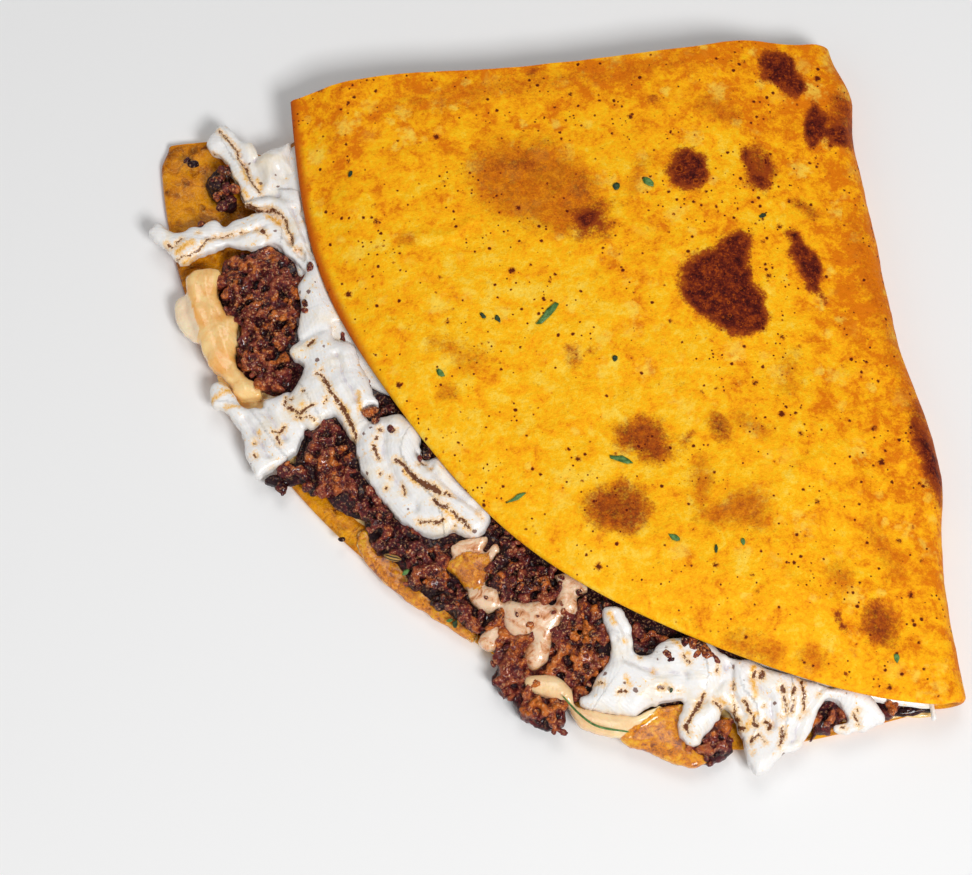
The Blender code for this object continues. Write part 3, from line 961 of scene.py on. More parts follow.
@dataclass(frozen=True)
class MeltedCheeseFinish:
    """Melted cheese: tan, wet and slightly see-through, stained with orange fat."""

    name: str = "melted cheese"
    body: Colour = (0.90, 0.43, 0.10)
    pale: Colour = (1.0, 0.67, 0.29)
    fat: Colour = (0.60, 0.17, 0.006)
    flesh: Colour = (0.84, 0.60, 0.43)
    juice: Colour = (0.24, 0.055, 0.014)
    amber: Colour = (0.88, 0.30, 0.003)
    yolk: Colour = (1.0, 0.50, 0.012)
    milk: Colour = (0.95, 0.80, 0.60)

    def material(self) -> Material:
        """Build the material.

        Returns:
            The material.
        """
        bench = NodeBench(self.name)
        soft = bench.noise(5.2, 4.0, 0.6, 0.7)
        stains = bench.noise(2.2, 5.0, 0.65, 1.0)
        colour = bench.ramp(soft, (0.36, self.body), (0.64, self.pale))
        stained = bench.plus(bench.attribute("hollow"), bench.minus(stains, 0.5))
        colour = bench.mix(bench.between(stained, 0.16, 0.8, (0.0, 0.8)), colour, self.fat)
        colour = bench.mix(bench.between(bench.attribute("soaked"), 0.2, 0.7, (0.0, 0.85)), colour,
                           self.flesh)
        colour = bench.mix(bench.times(bench.attribute("milky"), 0.75), colour, self.milk)
        oily = bench.plus(bench.attribute("oily"), bench.minus(stains, 0.5))
        oily = bench.between(oily, 0.25, 0.8, (0.0, 0.98))
        grain = bench.noise(1.0, 5.0, 0.75, 0.4)
        glaze = bench.plus(grain, bench.minus(soft, 0.5), 0.7)
        glaze = bench.ramp(glaze, (0.31, self.juice), (0.41, self.fat), (0.52, self.amber), (0.66, self.yolk))
        colour = bench.mix(oily, colour, glaze)
        soaked = bench.plus(bench.attribute("soaked"), bench.minus(stains, 0.5), 2.4)
        colour = bench.mix(bench.between(soaked, 0.50, 1.05, (0.0, 0.8)), colour, self.fat)
        colour = bench.mix(bench.between(soaked, 0.85, 1.2, (0.0, 0.9)), colour, self.juice)
        skin = bench.bump(bench.noise(1.1, 4.0, 0.6), 0.16)
        skin = bench.bump(bench.times(grain, oily), 0.5, skin)
        distance, _ = bench.cells(0.9)
        skin = bench.bump(bench.between(distance, 0.1, 0.45), 0.04, skin)
        bench.fixed(subsurface_weight=0.3, subsurface_radius=(0.003, 0.0016, 0.0008), coat_weight=0.6,
                    coat_roughness=0.07, subsurface_scale=1.0)
        return bench.finish(colour, 0.22, skin)


@dataclass(frozen=True)
class BeefFinish:
    """Browned ground beef, wet with fat and spice, with painted shade low down and in crevices and painted
    glints on its crests.
    """

    dark: Colour = (0.016, 0.0012, 0.004)
    meat: Colour = (0.080, 0.008, 0.012)
    warm: Colour = (0.180, 0.024, 0.018)
    crust: Colour = (0.43, 0.105, 0.040)
    spice: Colour = (0.66, 0.17, 0.016)
    painted_glint: Colour = (0.88, 0.48, 0.22)

    def material(self) -> Material:
        """Build the material.

        Returns:
            The material.
        """
        bench = NodeBench("browned ground beef")
        grain = bench.noise(0.6, 5.0, 0.85, 0.3)
        patch = bench.noise(3.6, 3.0, 0.6)
        crest = bench.attribute("crest")
        tone = bench.plus(bench.times(grain, 0.84), patch, 0.7)
        tone = bench.minus(tone, 0.12)
        tone = bench.plus(tone, bench.attribute("tone"), 0.16)
        # Painted shade: the lower parts of the beef are darker and its tops lighter, by their height (crest).
        tone = bench.plus(tone, bench.between(crest, 0.0, 1.0, (-0.26, -0.07)))
        # Painted shade: darker in the crevices between the lumps.
        tone = bench.minus(tone, bench.attribute("hollow"), 0.13)
        colour = bench.ramp(tone, (0.51, self.dark), (0.61, self.meat), (0.73, self.warm), (0.90, self.crust))
        dusted = bench.plus(bench.noise(6.5, 3.0, 0.6), bench.minus(grain, 0.5), 0.9)
        dusted = bench.minus(dusted, bench.attribute("hollow"), 0.1)
        dusted = bench.plus(dusted, bench.between(bench.attribute("tone"), 0.2, 1.2, (-0.04, 0.09)))
        # Orange spice dust, kept to the crests, where it also stands for orange highlights: partly spice,
        # partly painted highlight.
        dusted = bench.times(bench.between(dusted, 0.57, 0.74), bench.between(crest, 0.5, 0.92, (0.0, 0.85)))
        colour = bench.mix(dusted, colour, self.spice)
        # Painted glints: small pale spots on the crests stand for highlights on the wet fat.
        painted_glint_spots = bench.times(bench.between(bench.noise(0.45, 3.0, 0.6), 0.56, 0.64), crest)
        colour = bench.mix(bench.times(painted_glint_spots, 0.6), colour, self.painted_glint)
        skin = bench.bump(bench.noise(0.7, 4.0, 0.7), 0.40)
        skin = bench.bump(bench.noise(0.24, 2.0, 0.6), 0.10, skin)
        bench.fixed(specular_ior_level=0.12, coat_weight=0.4, coat_roughness=0.08)
        return bench.finish(colour, 0.4, skin)


@dataclass(frozen=True)
class LeafFinish:
    """Chopped green herb, dull with a paler rib."""

    name: str
    leaf: Colour
    shade: Colour

    def material(self) -> Material:
        """Build the material.

        Returns:
            The material.
        """
        bench = NodeBench(self.name)
        veins = bench.noise(0.8, 3.0, 0.6, 0.6)
        colour = bench.ramp(veins, (0.38, self.shade), (0.62, self.leaf))
        bench.fixed(specular_ior_level=0.4)
        return bench.finish(colour, 0.45, bench.bump(bench.noise(0.5, 3.0), 0.08))


class Browning(Enum):
    """How far the griddle took a spot on the tortilla."""

    TOASTED = "toast"
    BROWNED = "brown"
    SCORCHED = "char"


@dataclass(frozen=True)
class GriddleMark:
    """One spot that the griddle coloured: an outline or path in the plan, widened by a radius."""

    kind: Browning
    radius: float
    shape: Path
    softness: float = 2.4

    def strength(self, along: Array, across: Array) -> Array:
        """0 well outside the mark, one half on its outline, 1 well inside.

        Args:
            along: Plan points, along.
            across: Plan points, across.

        Returns:
            The strengths.
        """
        gap = path_distance(along, across, self.shape + self.shape[:1])
        if len(self.shape) > 2:
            gap = np.where(inside_outline(along, across, self.shape), -gap, gap)
        return np.clip(0.5 - (gap - self.radius) / (2.0 * self.softness), 0.0, 1.0)


S, B, T = Browning.SCORCHED, Browning.BROWNED, Browning.TOASTED

UPPER_MARKS = tuple(GriddleMark(*row) for row in (
    (T, 0.5, places(16.5, 73, 13.5, 66, 16, 57.5, 22, 51, 29, 48, 35, 49.5, 36.5, 54, 34, 60, 31, 68, 26,
        72.5), 3.4),
    (B, 1, places(19, 68.5, 18.5, 62.5, 21.5, 60), 2.6),
    (B, 0.6, places(26.5, 55, 24.5, 52.5, 28, 51), 2.2),
    (B, 1.4, places(30, 55, 30.5, 49.5, 36, 50.5, 36, 54), 2.4),
    (S, 0.5, places(32, 54, 32, 50.5, 35, 51, 35, 53.5), 2),
    (B, 0.6, places(27, 52.3, 28, 51), 1.6),
    (B, 1.2, places(0.6, 57.7), 2),
    (S, 0.2, places(1, 13.2, 0.6, 10.5, 3.1, 7.9, 5.7, 8, 9.4, 6.7, 10.5, 8.7, 9.2, 11.4, 7.5, 13.4, 4.4,
        14), 1.3),
    (S, 0.2, places(14.6, 7.3, 13.1, 5.2, 16.5, 3.4, 20.5, 4.2, 22, 7.6, 18, 8.3), 1.1),
    (S, 0.4, places(19.5, 4.5, 22.5, 2.6, 22.5, 0.6, 18, 0.8), 1.2),
    (B, 1, places(12, 1, 13.2, -0.8, 16, -2.1, 20, -1.9, 22.6, 0.3, 18.2, 3), 1.6),
    (S, 0.1, places(21.7, 34.1, 21, 31.3, 23.2, 29.4, 26.7, 29.2, 29.4, 30.9, 29.3, 33.1, 27.6, 35, 24.5,
        35.4), 1.5),
    (B, 0.2, places(21.9, 20.8, 21.3, 18.5, 23.6, 16, 26.5, 15.7, 29.3, 17.2, 30.6, 19.6, 28.3, 21.4, 25,
        21.4), 1.6),
    (S, 0.5, places(22.2, 20.2, 26.4, 20.6), 1.1),
    (S, 1.4, places(28.4, 19.4, 29.6, 18.8), 1.6),
    (S, 0.3, places(23.5, 16.9, 26.5, 17.2), 1.1),
    (S, 0, places(45.1, 36.6, 43, 33.2, 41.9, 29.2, 39.1, 25.5, 39.9, 23.2, 41.9, 23.4, 45.1, 24.7, 49.9,
        24.6, 53.3, 23, 57, 22.5, 59.7, 24.1, 60, 27.8, 58.2, 31.7, 55.2, 35.4, 51.2, 37.3, 47.4, 37.4),
        1.5),
    (S, 0, places(40.1, 15.6, 39.9, 14.2, 43, 13.5, 45, 11.2, 47.2, 10.5, 50.8, 11.5, 51.8, 13, 49.5, 14.3,
        46.5, 15.3, 43, 15.8), 1.1),
    (S, 0.2, places(51.5, 12.4, 54.5, 11.2), 0.6),
    (B, 1, places(33.5, 12.5, 36.5, 10.5), 1.6),
    (B, 0.9, places(10, 36.3), 1.3),
    (T, 2.2, places(12, 26, 15, 22), 2.8),
    (B, 0.6, places(75.6, 53.7, 73.8, 49.7, 75.2, 46.2, 78.5, 44.6, 81.4, 45.1, 82.3, 48.3, 80.5, 50.8,
        78.8, 53.3), 2.2),
    (B, 0.4, places(88.7, 62.2, 86.2, 59.1, 85.8, 55.3, 87.6, 52, 91, 50.4, 94, 52.1, 95.5, 55.1, 93.5,
        59.3, 91.3, 61.7), 2.4),
    (B, 0.4, places(77.2, 37, 75.8, 35.3, 77.7, 33.4, 80, 34.1, 79.6, 36.7), 1.8),
    (T, 0.8, places(94.5, 42.2, 92.6, 39.1, 91.2, 35.2, 90.6, 31.5, 94.4, 29, 97.6, 30.9, 96.4, 34.3, 96.5,
        38.9), 2.6),
    (B, 0.6, places(93, 34, 95, 31.5), 2.2),
    (T, 1.5, places(84, 40.5, 88, 40, 92, 41.5), 2.6),
    (B, 0.5, places(78.5, 41.5, 80.5, 42.5), 1.5),
    (T, 1.6, places(76, 31, 79, 28), 2.4),
    (B, 0.8, places(59, 59.3, 61, 59.5), 1.8),
    (B, 0.5, places(59.6, 55.8), 1.4),
    (T, 1.7, places(63, 83.2), 2),
    (B, 0.5, places(64, 82.2), 1),
    (T, 1.7, places(31.7, 86.8), 2),
    (S, 0.2, places(80, -1, 85, -2.6, 90, -3, 94, -2, 90, -0.6, 85, -0.2), 1.4),
    (B, 1.2, places(77, -1.5, 84, -2.4, 91.5, -3, 96, -1.8), 1.8),
    (B, 0.3, places(115, 16.1, 114.3, 13.2, 116.2, 10.4, 119.9, 10.8, 122.5, 12.2, 121.2, 15, 118.1, 16.9),
        1.9),
    (T, 2.6, places(108.7, 19.5), 3),
    (T, 2.2, places(121.7, 33.7, 118.1, 39.3), 3),
    (T, 2.4, places(122.7, 26.7), 3),
    (S, 0.25, places(115.2, 20.8, 118.6, 20), 0.5),
    (T, 1.6, places(2, 30, 3, 60, 3.5, 84), 4.6),
    (T, 1.2, places(38, 3, 60, 1.5, 74, 0), 3.6),
    (T, 1.2, places(22, 40, 28, 43), 3),
    (T, 1.4, places(66, 20, 72, 22), 3.4),
    (T, 1.6, places(58, 78, 54, 84), 3.4),
    (T, 1.4, places(100, 12, 108, 8), 3.4),
))

FLAP_CREASES = (
    (0.9, places(1.4, 26.4, 8, 26, 14, 26, 18, 25.8)),
    (0.9, places(90, 24.6, 87.6, 22.7, 86.4, 20.2, 85.7, 16.8)),
    (1.1, places(84, 13.7, 88, 12.3, 93, 11.2, 99, 11.5)),
    (1, places(60, 9, 66, 8, 71, 9.5)),
    (1, places(106, 30, 111, 26, 114, 20)),
    (0.9, places(30, 74, 33, 79, 32, 84)),
)

LOWER_MARKS = tuple(GriddleMark(*row) for row in (
    (S, 3.5, places(24, 28, 30, 33)),
    (B, 5, places(58, 22, 66, 18), 3.4),
    (S, 2.8, places(90, 35, 95, 38), 2),
    (T, 7, places(112, 24, 104, 44), 5),
    (S, 3, places(40, 66, 44, 62), 2.2),
    (B, 4.4, places(66, 60, 74, 66), 3.4),
    (T, 8, places(18, 84, 34, 96), 6),
    (S, 2.4, places(14, 112, 18, 108), 2),
    (B, 3.8, places(64, 104, 70, 98), 3),
    (S, 3.2, places(98, 74, 94, 80), 2.2),
    (B, 3, places(12, 56, 10, 62), 3),
    (T, 5, places(84, 8, 110, 6), 4),
))


@dataclass(frozen=True)
class Tortilla:
    """The folded flour tortilla, one sheet through both flaps."""

    plan: WedgePlan
    finish: TortillaFinish
    steps: int = 134
    fold_steps: int = 16
    rim_round: float = 1.15
    rim_rings: tuple[float, ...] = (1.15, 0.75, 0.42, 0.16, 0.0)
    rim_least: float = 0.16
    blisters: tuple[Place, ...] = ((6.5, 0.20), (2.6, 0.11), (1.1, 0.035))
    inner_creases: tuple[Place, ...] = ((4.5, 0.16), (1.8, 0.08))
    scorch_rise: float = 0.22
    crease_rise: float = 0.36
    flap_split: Place = (2.6, 3.0)
    halo_most: float = 0.75
    sharp_angle: float = 55.0
    rest_lift: float = 0.06
    cut_ripple: float = 0.12
    wobble: tuple[Place, ...] = ((5.0, 1.1), (1.7, 0.5))
    stain_reach: Place = (0.9, 10.0)
    painted_shade_bands: tuple[Place, Place] = ((0.9, 24.0), (0.8, 26.0))
    rim_band: float = 4.2

    def shares(self) -> Array:
        """Shares of the reach at which the rings stand, close together at the rim.

        Returns:
            The shares, from 0 to 1.
        """
        reach = self.plan.upper_radius
        rim = [1.0 - gap / reach for gap in self.rim_rings]
        return np.concatenate([np.linspace(0.0, rim[0], self.steps + 2 - len(rim))[:-1], rim])

    def flap_grid(self, edge: Callable[[Array], Array], first: int) -> tuple[Array, Array]:
        """A flap's plan points: rings about the fold's end at the cut, fitted to the flap's round edge.

        Args:
            edge: Distance from the apex to the flap's round edge, by angle.
            first: First row away from the fold, 0 or 1.

        Returns:
            Along and across, rows away from the fold by columns away from the cut.
        """
        step_across, step_along = np.meshgrid(np.arange(first, self.steps + 1), np.arange(self.steps + 1),
                                              indexing="ij")
        ring = np.maximum(step_across, step_along)
        safe = np.maximum(ring, 1)
        turn = np.where(step_along >= step_across, step_across / (2.0 * safe),
                        1.0 - step_along / (2.0 * safe))
        start = math.asin(self.plan.fold_centre / self.plan.fold_length)
        angle = start + turn * (math.pi / 2.0 - start)
        share = self.shares()[ring]
        reach = edge(angle)
        centre = self.plan.fold_centre
        return reach * np.cos(angle) * share, centre + (reach * np.sin(angle) - centre) * share

    def middle_sheet(self) -> tuple[Array, Array]:
        """The sheet's middle surface.

        Returns:
            Plan points, rows by columns by three, and the distance of each from the round rim.
        """
        plan = self.plan
        half = plan.thickness / 2.0
        along, across = self.flap_grid(plan.lower_edge, 1)
        lower = np.stack([*plan.bowed(along, across, 0.0), np.full_like(along, half)], axis=-1)[::-1]
        along, across = self.flap_grid(plan.upper_edge, 1)
        upper = np.stack([*plan.bowed(along, across, 1.0), plan.upper_surface(along, across)], axis=-1)
        low_line = self.flap_grid(plan.lower_edge, 0)[0][0]
        high_line = self.flap_grid(plan.upper_edge, 0)[0][0]
        rise = np.linspace(0.0, 1.0, self.fold_steps + 1)[:, None]
        turn = math.pi * (rise - 0.5)
        along = low_line + (high_line - low_line) * rise
        across = plan.fold_centre - plan.fold_radius * np.cos(turn) + 0.0 * along
        height = half + plan.fold_radius * (1.0 + np.sin(turn)) + 0.0 * along
        fold = np.stack([*plan.bowed(along, across, rise), height], axis=-1)
        rings = np.abs(np.concatenate([np.arange(-self.steps, 0), np.zeros(self.fold_steps + 1, int),
                                       np.arange(1, self.steps + 1)]))
        ring = np.maximum(rings[:, None], np.arange(self.steps + 1)[None, :])
        rim_gap = (1.0 - self.shares()[ring]) * plan.upper_radius
        return np.concatenate([lower, fold, upper]), rim_gap

    def normals(self, sheet: Array) -> Array:
        """Directions out of the folded packet, one for each point of the sheet.

        Args:
            sheet: Middle surface of the sheet.

        Returns:
            The directions.
        """
        normal = np.cross(np.gradient(sheet, axis=0), np.gradient(sheet, axis=1))
        normal /= np.maximum(np.linalg.norm(normal, axis=-1, keepdims=True), TINY)
        return normal * np.sign(normal[-self.steps // 2, self.steps // 2, 2])

    def above(self, height: Array) -> Array:
        """0 on the lower flap, 1 on the upper flap."""
        return smooth_step((height - self.flap_split[0]) / self.flap_split[1])

    def browned(self, sheet: Array) -> Fields:
        """Fields of toasted, browned and scorched marks over the outer face.

        Args:
            sheet: Middle surface of the sheet.

        Returns:
            The strength of each kind of browning at each point.
        """
        along, across, height = np.moveaxis(sheet, -1, 0)
        for layer, (size, reach) in enumerate(self.wobble):
            along = along + reach * bumps(sheet, size, 3.0 + layer)
            across = across + reach * bumps(sheet, size, 7.0 + layer)
        above = self.above(height)
        fields = {}
        for kind in Browning:
            lower, upper = (
                np.max([mark.strength(along, across) for mark in marks if mark.kind is kind], axis=0)
                for marks in (LOWER_MARKS, UPPER_MARKS))
            fields[kind.value] = upper * above + lower * (1.0 - above)
        halo = np.clip(1.5 * np.maximum(fields["char"], 0.9 * fields["brown"]), 0.0, self.halo_most)
        fields["toast"] = np.maximum(fields["toast"], halo)
        return fields

    def tints(self, sheet: Array, rim_gap: Array) -> Fields:
        """Painted shade and light: darker by the fold and the cut, lighter over the upper flap's middle, and
        toasted at the rim, darker towards the cut where that is partly painted shade.

        Args:
            sheet: Middle surface of the sheet.
            rim_gap: Distance of each point from the round rim.

        Returns:
            The strength of each change at each point.
        """
        along, across, height = sheet[..., 0], sheet[..., 1], sheet[..., 2]
        degrees = np.degrees(np.arctan2(np.maximum(across, 0.0), np.maximum(along, 0.1)))
        # Painted shade: darker bands along the fold and along the cut, where the flap turns away from the
        # light.
        (fold_share, fold_reach), (cut_share, cut_reach) = self.painted_shade_bands
        dull = fold_share * (1.0 - smooth_step(across / fold_reach))
        dull = dull + cut_share * (1.0 - smooth_step(along / cut_reach))
        # Painted light: lighter over the middle of the upper flap, which faces the light.
        bright = bell(degrees, 46.0, 30.0) * smooth_step((np.hypot(along, across) - 46.0) / 40.0)
        bright = bright * smooth_step((height - 4.0) / 4.0)
        # Toasted near the round rim, and darker towards the cut, where the rim turns down out of the light:
        # partly toasting, partly painted shade.
        near_rim = np.clip(1.0 - rim_gap / self.rim_band, 0.0, 1.0)
        rim = near_rim * (0.35 + 0.9 * smooth_step((degrees - 50.0) / 20.0))
        return {"dull": np.clip(dull, 0.0, 1.2), "bright": bright, "rim": rim}

    def stained(self, sheet: Array) -> Array:
        """How much sauce and fat the inner face has soaked up.

        Args:
            sheet: Middle surface of the sheet.

        Returns:
            The amounts, from 0 to 1.
        """
        along, across, height = sheet[..., 0], sheet[..., 1], sheet[..., 2]
        angle = np.arctan2(np.maximum(across, 0.0), np.maximum(along, 0.1))
        inward = self.plan.lower_edge(angle) - np.hypot(along, across)
        spread = smooth_step((inward - self.stain_reach[0]) / self.stain_reach[1])
        corner = 0.4 * smooth_step((np.degrees(angle) - 62.0) / 8.0)
        amount = 0.62 + 0.4 * spread + corner + 0.25 * bumps(sheet, 9.0, 5.0)
        return np.clip(amount, 0.0, 1.0) * (1.0 - 0.3 * smooth_step(height / 9.0))

    def reliefs(self, sheet: Array, scorched: Array) -> Sequence[Array]:
        """Unevenness of both faces.

        Args:
            sheet: Middle surface of the sheet.
            scorched: Strength of the scorched marks.

        Returns:
            How far the outer face and the inner face stand out, in millimetres.
        """
        outer = sum(depth * bumps(sheet, size, 20.0) for size, depth in self.blisters)
        outer = outer + self.scorch_rise * smooth_step(scorched)
        gaps = [(path_distance(sheet[..., 0], sheet[..., 1], path), width) for width, path in FLAP_CREASES]
        creases = sum(bell(gap, 0.0, width) for gap, width in gaps)
        outer = outer + self.crease_rise * creases * self.above(sheet[..., 2])
        return outer, sum(depth * bumps(sheet, size, 40.0) for size, depth in self.inner_creases)

    def build(self) -> Piece:
        """Make the sheet with its two faces, its rounded rim and its cut edge.

        Returns:
            The piece.
        """
        sheet, rim_gap = self.middle_sheet()
        normal = self.normals(sheet)
        inward_share = np.clip(rim_gap / self.rim_round, 0.0, 1.0)
        round_off = np.maximum(np.sqrt(1.0 - (1.0 - inward_share) ** 2), self.rim_least)[..., None]
        fields = self.browned(sheet)
        reliefs = [self.plan.thickness / 2.0 + relief[..., None]
                   for relief in self.reliefs(sheet, fields["char"])]
        outer, inner = (
            (sheet + side * normal * relief * round_off).reshape(-1, 3)
            for side, relief in zip((1.0, -1.0), reliefs))
        count = rim_gap.size
        quads = grid_quads(*rim_gap.shape).reshape(-1, 4)
        loop = grid_rim(*rim_gap.shape)
        seam = (outer[loop] + inner[loop]) / 2.0
        seam[:, 0] += self.cut_ripple * bumps(seam, 1.4, 9.0) * (seam[:, 0] < 3.0)
        walls = ring_walls([loop, np.arange(2 * count, 2 * count + len(loop)), loop + count])
        points = np.concatenate([outer, inner, seam])
        pressed = self.rest_lift * np.exp(np.minimum(points[:, 2] - self.rest_lift, 0.0) / self.rest_lift)
        points[:, 2] = np.maximum(points[:, 2], pressed)
        mesh = build_mesh("tortilla_sheet", self.plan.to_frame(*points.T),
                          quads.tolist() + (quads[:, ::-1] + count).tolist() + walls,
                          self.attributes(sheet, rim_gap, fields, loop))
        mesh.set_sharp_from_angle(angle=math.radians(self.sharp_angle))
        piece = add_piece("tortilla_sheet", mesh, self.finish.material())
        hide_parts("tortilla")
        return piece

    def attributes(self, sheet: Array, rim_gap: Array, fields: Fields, loop: Array) -> Fields:
        """Values for the finish on the outer face, the inner face and the seam between them.

        Args:
            sheet: Middle surface of the sheet.
            rim_gap: Distance of each point from the round rim.
            fields: Browning over the outer face.
            loop: Points of the outer face that border the seam.

        Returns:
            One value for each point of the finished mesh under each name.
        """
        stored = {}
        for group, inner_share, seam_share in ((fields, 0.35, 0.8), (self.tints(sheet, rim_gap), 0.6, 1.0)):
            for label, values in group.items():
                flat = values.ravel()
                stored[label] = np.concatenate([flat, flat * inner_share, flat[loop] * seam_share])
        stain, blank = self.stained(sheet).ravel(), np.zeros(rim_gap.size)
        on_cut = (loop % rim_gap.shape[1] == 0).astype(float)
        stored["stain"] = np.concatenate([blank, stain, stain[loop] * 0.4])
        stored["dough"] = np.concatenate([blank, blank, 0.45 + 0.4 * on_cut])
        return stored


MELTED_REACH = (
    (0, -0.1), (4, 0.1), (8, 0.55), (14, 0.75), (19, 0.6), (22, 0.62), (28, 0.62), (32, 0.6), (38, 0.7),
    (45, 0.55), (52, 0.8), (58, 0.9), (62, 1.0), (68, 1.0), (74, 0.9), (78, 0.2), (82, -0.02),
    (90, -0.05),
)
BEEF_REACH = (
    (0, -0.1), (3, -0.05), (5, 0.2), (8, 0.4), (12, 0.55), (15, 0.5), (18, 0.5), (20.5, 0.6), (25, 0.72),
    (28, 0.8), (31, 0.95), (33, 0.9), (35, 0.95), (37.5, 0.85), (43, 0.72), (50, 0.74), (54, 0.86),
    (58, 0.84), (61, 0.7), (66, 0.62), (71, 0.66), (76, 0.4), (80, 0.05), (84, -0.06), (90, -0.1),
)
WHITE_BED_REACH = (
    (0, -0.1), (20, -0.1), (40, -0.1), (55, -0.1), (61, 0.1), (66, 0.13), (76, 0.13), (83, 0.16),
    (85.5, 0.12), (88, -0.12), (90, -0.12),
)


@dataclass(frozen=True)
class CheeseSheet:
    """A soft sheet of cheese on the heap: its outline in the plan, and how far it stands above the heap."""

    outline: Path
    rise: float
    thickness: float = 3.0
    edge: float = 1.3
    crown: float = 0.6
    step: float = 0.4
    spots: int = 8
    ragged: float = 0.42

    def rim(self) -> Path:
        """The outline, rounded through its places and made slightly ragged.

        Returns:
            The finer outline.
        """
        knots = np.array(self.outline)
        rim = []
        for number in range(len(knots)):
            four = [knots[(number + step) % len(knots)] for step in (-1, 0, 1, 2)]
            rim.extend(bent(*four, share) for share in np.linspace(0.0, 1.0, self.spots, endpoint=False))
        along, across = np.array(rim).T
        shift = [self.ragged * plan_bumps(along, across, 2.6, layer) for layer in (3.0, 7.0)]
        return tuple(zip((along + shift[0]).tolist(), (across + shift[1]).tolist()))

    def body(self, plan: WedgePlan) -> Body:
        """The sheet as a closed body.

        Args:
            plan: The wedge's plan, whose filling the sheet lies on.

        Returns:
            Plan points and faces.
        """
        rim = self.rim()
        low, high = np.min(rim, axis=0), np.max(rim, axis=0)
        spans = [np.arange(start, end + self.step, self.step) for start, end in zip(low, high)]
        along, across = np.meshgrid(*spans, indexing="ij")
        depth = np.where(inside_outline(along, across, rim), path_distance(along, across, rim + rim[:1]), 0.0)
        rounding = 1.0 - np.sqrt(1.0 - (1.0 - np.clip(depth / self.edge, 0.0, 1.0)) ** 2)
        level = plan.ceiling(along, across) + self.rise
        top = level - 0.75 * self.edge * rounding + self.crown * smooth_step(depth / 4.0)
        bottom = level - self.thickness + 0.2 * self.edge * rounding
        inner = depth > 0.0
        cells = inner[:-1, :-1] & inner[1:, :-1] & inner[1:, 1:] & inner[:-1, 1:]
        quads = grid_quads(*along.shape)[cells]
        faces = (quads + along.size).tolist() + quads[:, ::-1].tolist()
        edges = {(corner, quad[(spot + 1) % 4]) for quad in quads.tolist() for spot,
                 corner in enumerate(quad)}
        for start, end in sorted(edges):
            if (end, start) not in edges:
                faces.append((start, end, end + along.size, start + along.size))
        points = np.concatenate([np.stack([along, across, height], axis=-1).reshape(-1, 3)
                                 for height in (bottom, top)])
        used, corners = np.unique([corner for face in faces for corner in face], return_inverse=True)
        return points[used], corners.reshape(-1, 4).tolist()


def bent(before: Array, start: Array, end: Array, after: Array, share: float) -> Array:
    """A place between the middle two of four knots, on the smooth curve through them.

    Args:
        before: First knot.
        start: Second knot, where the share is 0.
        end: Third knot, where the share is 1.
        after: Fourth knot.
        share: How far from the second knot to the third.

    Returns:
        The place.
    """
    bend = 2.0 * start + (end - before) * share
    bend = bend + (2.0 * before - 5.0 * start + 4.0 * end - after) * share**2
    return (bend + (3.0 * start - before - 3.0 * end + after) * share**3) / 2.0


def centre_line(knots: Array, step: float = 0.6) -> Array:
    """Points along a smooth curve through knots.

    Args:
        knots: The knots.
        step: Distance between the points, in millimetres.

    Returns:
        The points.
    """
    padded = np.concatenate([2.0 * knots[:1] - knots[1:2], knots, 2.0 * knots[-1:] - knots[-2:-1]])
    line = []
    for four in zip(padded, padded[1:], padded[2:], padded[3:]):
        count = max(int(np.linalg.norm(four[2] - four[1]) / step), 1)
        line.extend(bent(*four, share) for share in np.linspace(0.0, 1.0, count, endpoint=False))
    return np.array([*line, padded[-2]])


def side_of(line: Array) -> Array:
    """Level directions square to a line.

    Args:
        line: Points along the line.

    Returns:
        One direction for each point.
    """
    run = np.gradient(line, axis=0)
    side = np.stack([-run[:, 1], run[:, 0], np.zeros(len(line))], axis=-1)
    return side / np.maximum(np.linalg.norm(side, axis=1, keepdims=True), TINY)


def sweep(line: Array, half_width: float, half_height: float, end_width: float, sides: int = 14) -> tuple:
    """Sweep an oval along a line and close its ends roundly.

    Args:
        line: Plan points with heights.
        half_width: Half the oval's width, level and square to the line.
        half_height: Half the oval's height.
        end_width: Width of the ends as a share of the middle's.
        sides: Points round the oval.

    Returns:
        Plan points and the faces between them.
    """
    side = side_of(line)
    run = np.gradient(line, axis=0)
    run /= np.maximum(np.linalg.norm(run, axis=1, keepdims=True), TINY)
    upright = np.cross(run, side)
    upright *= np.sign(upright[:, 2:3] + TINY)
    travelled = np.concatenate([[0.0], np.cumsum(np.linalg.norm(np.diff(line, axis=0), axis=1))])
    from_end = np.minimum(travelled, travelled[-1] - travelled)
    taper = end_width + (1.0 - end_width) * smooth_step(from_end / max(travelled[-1] * 0.3, 1e-6))
    cap = np.sqrt(np.clip(1.0 - (1.0 - np.clip(from_end / half_width, 0.0, 1.0)) ** 2, 0.02, 1.0))
    scale = (taper * cap)[:, None, None]
    turn = np.linspace(0.0, 2.0 * math.pi, sides, endpoint=False)
    oval = np.cos(turn)[None, :, None] * side[:, None, :] * half_width
    oval = oval + np.sin(turn)[None, :, None] * upright[:, None, :] * half_height
    points = (line[:, None, :] + oval * scale).reshape(-1, 3)
    faces = []
    for row in range(len(line) - 1):
        for spot in range(sides):
            ahead = (spot + 1) % sides
            faces.append((row * sides + spot, row * sides + ahead, (row + 1) * sides + ahead,
                          (row + 1) * sides + spot))
    faces.append(tuple(range(sides)))
    faces.append(tuple(range(len(points) - sides, len(points)))[::-1])
    return points, faces


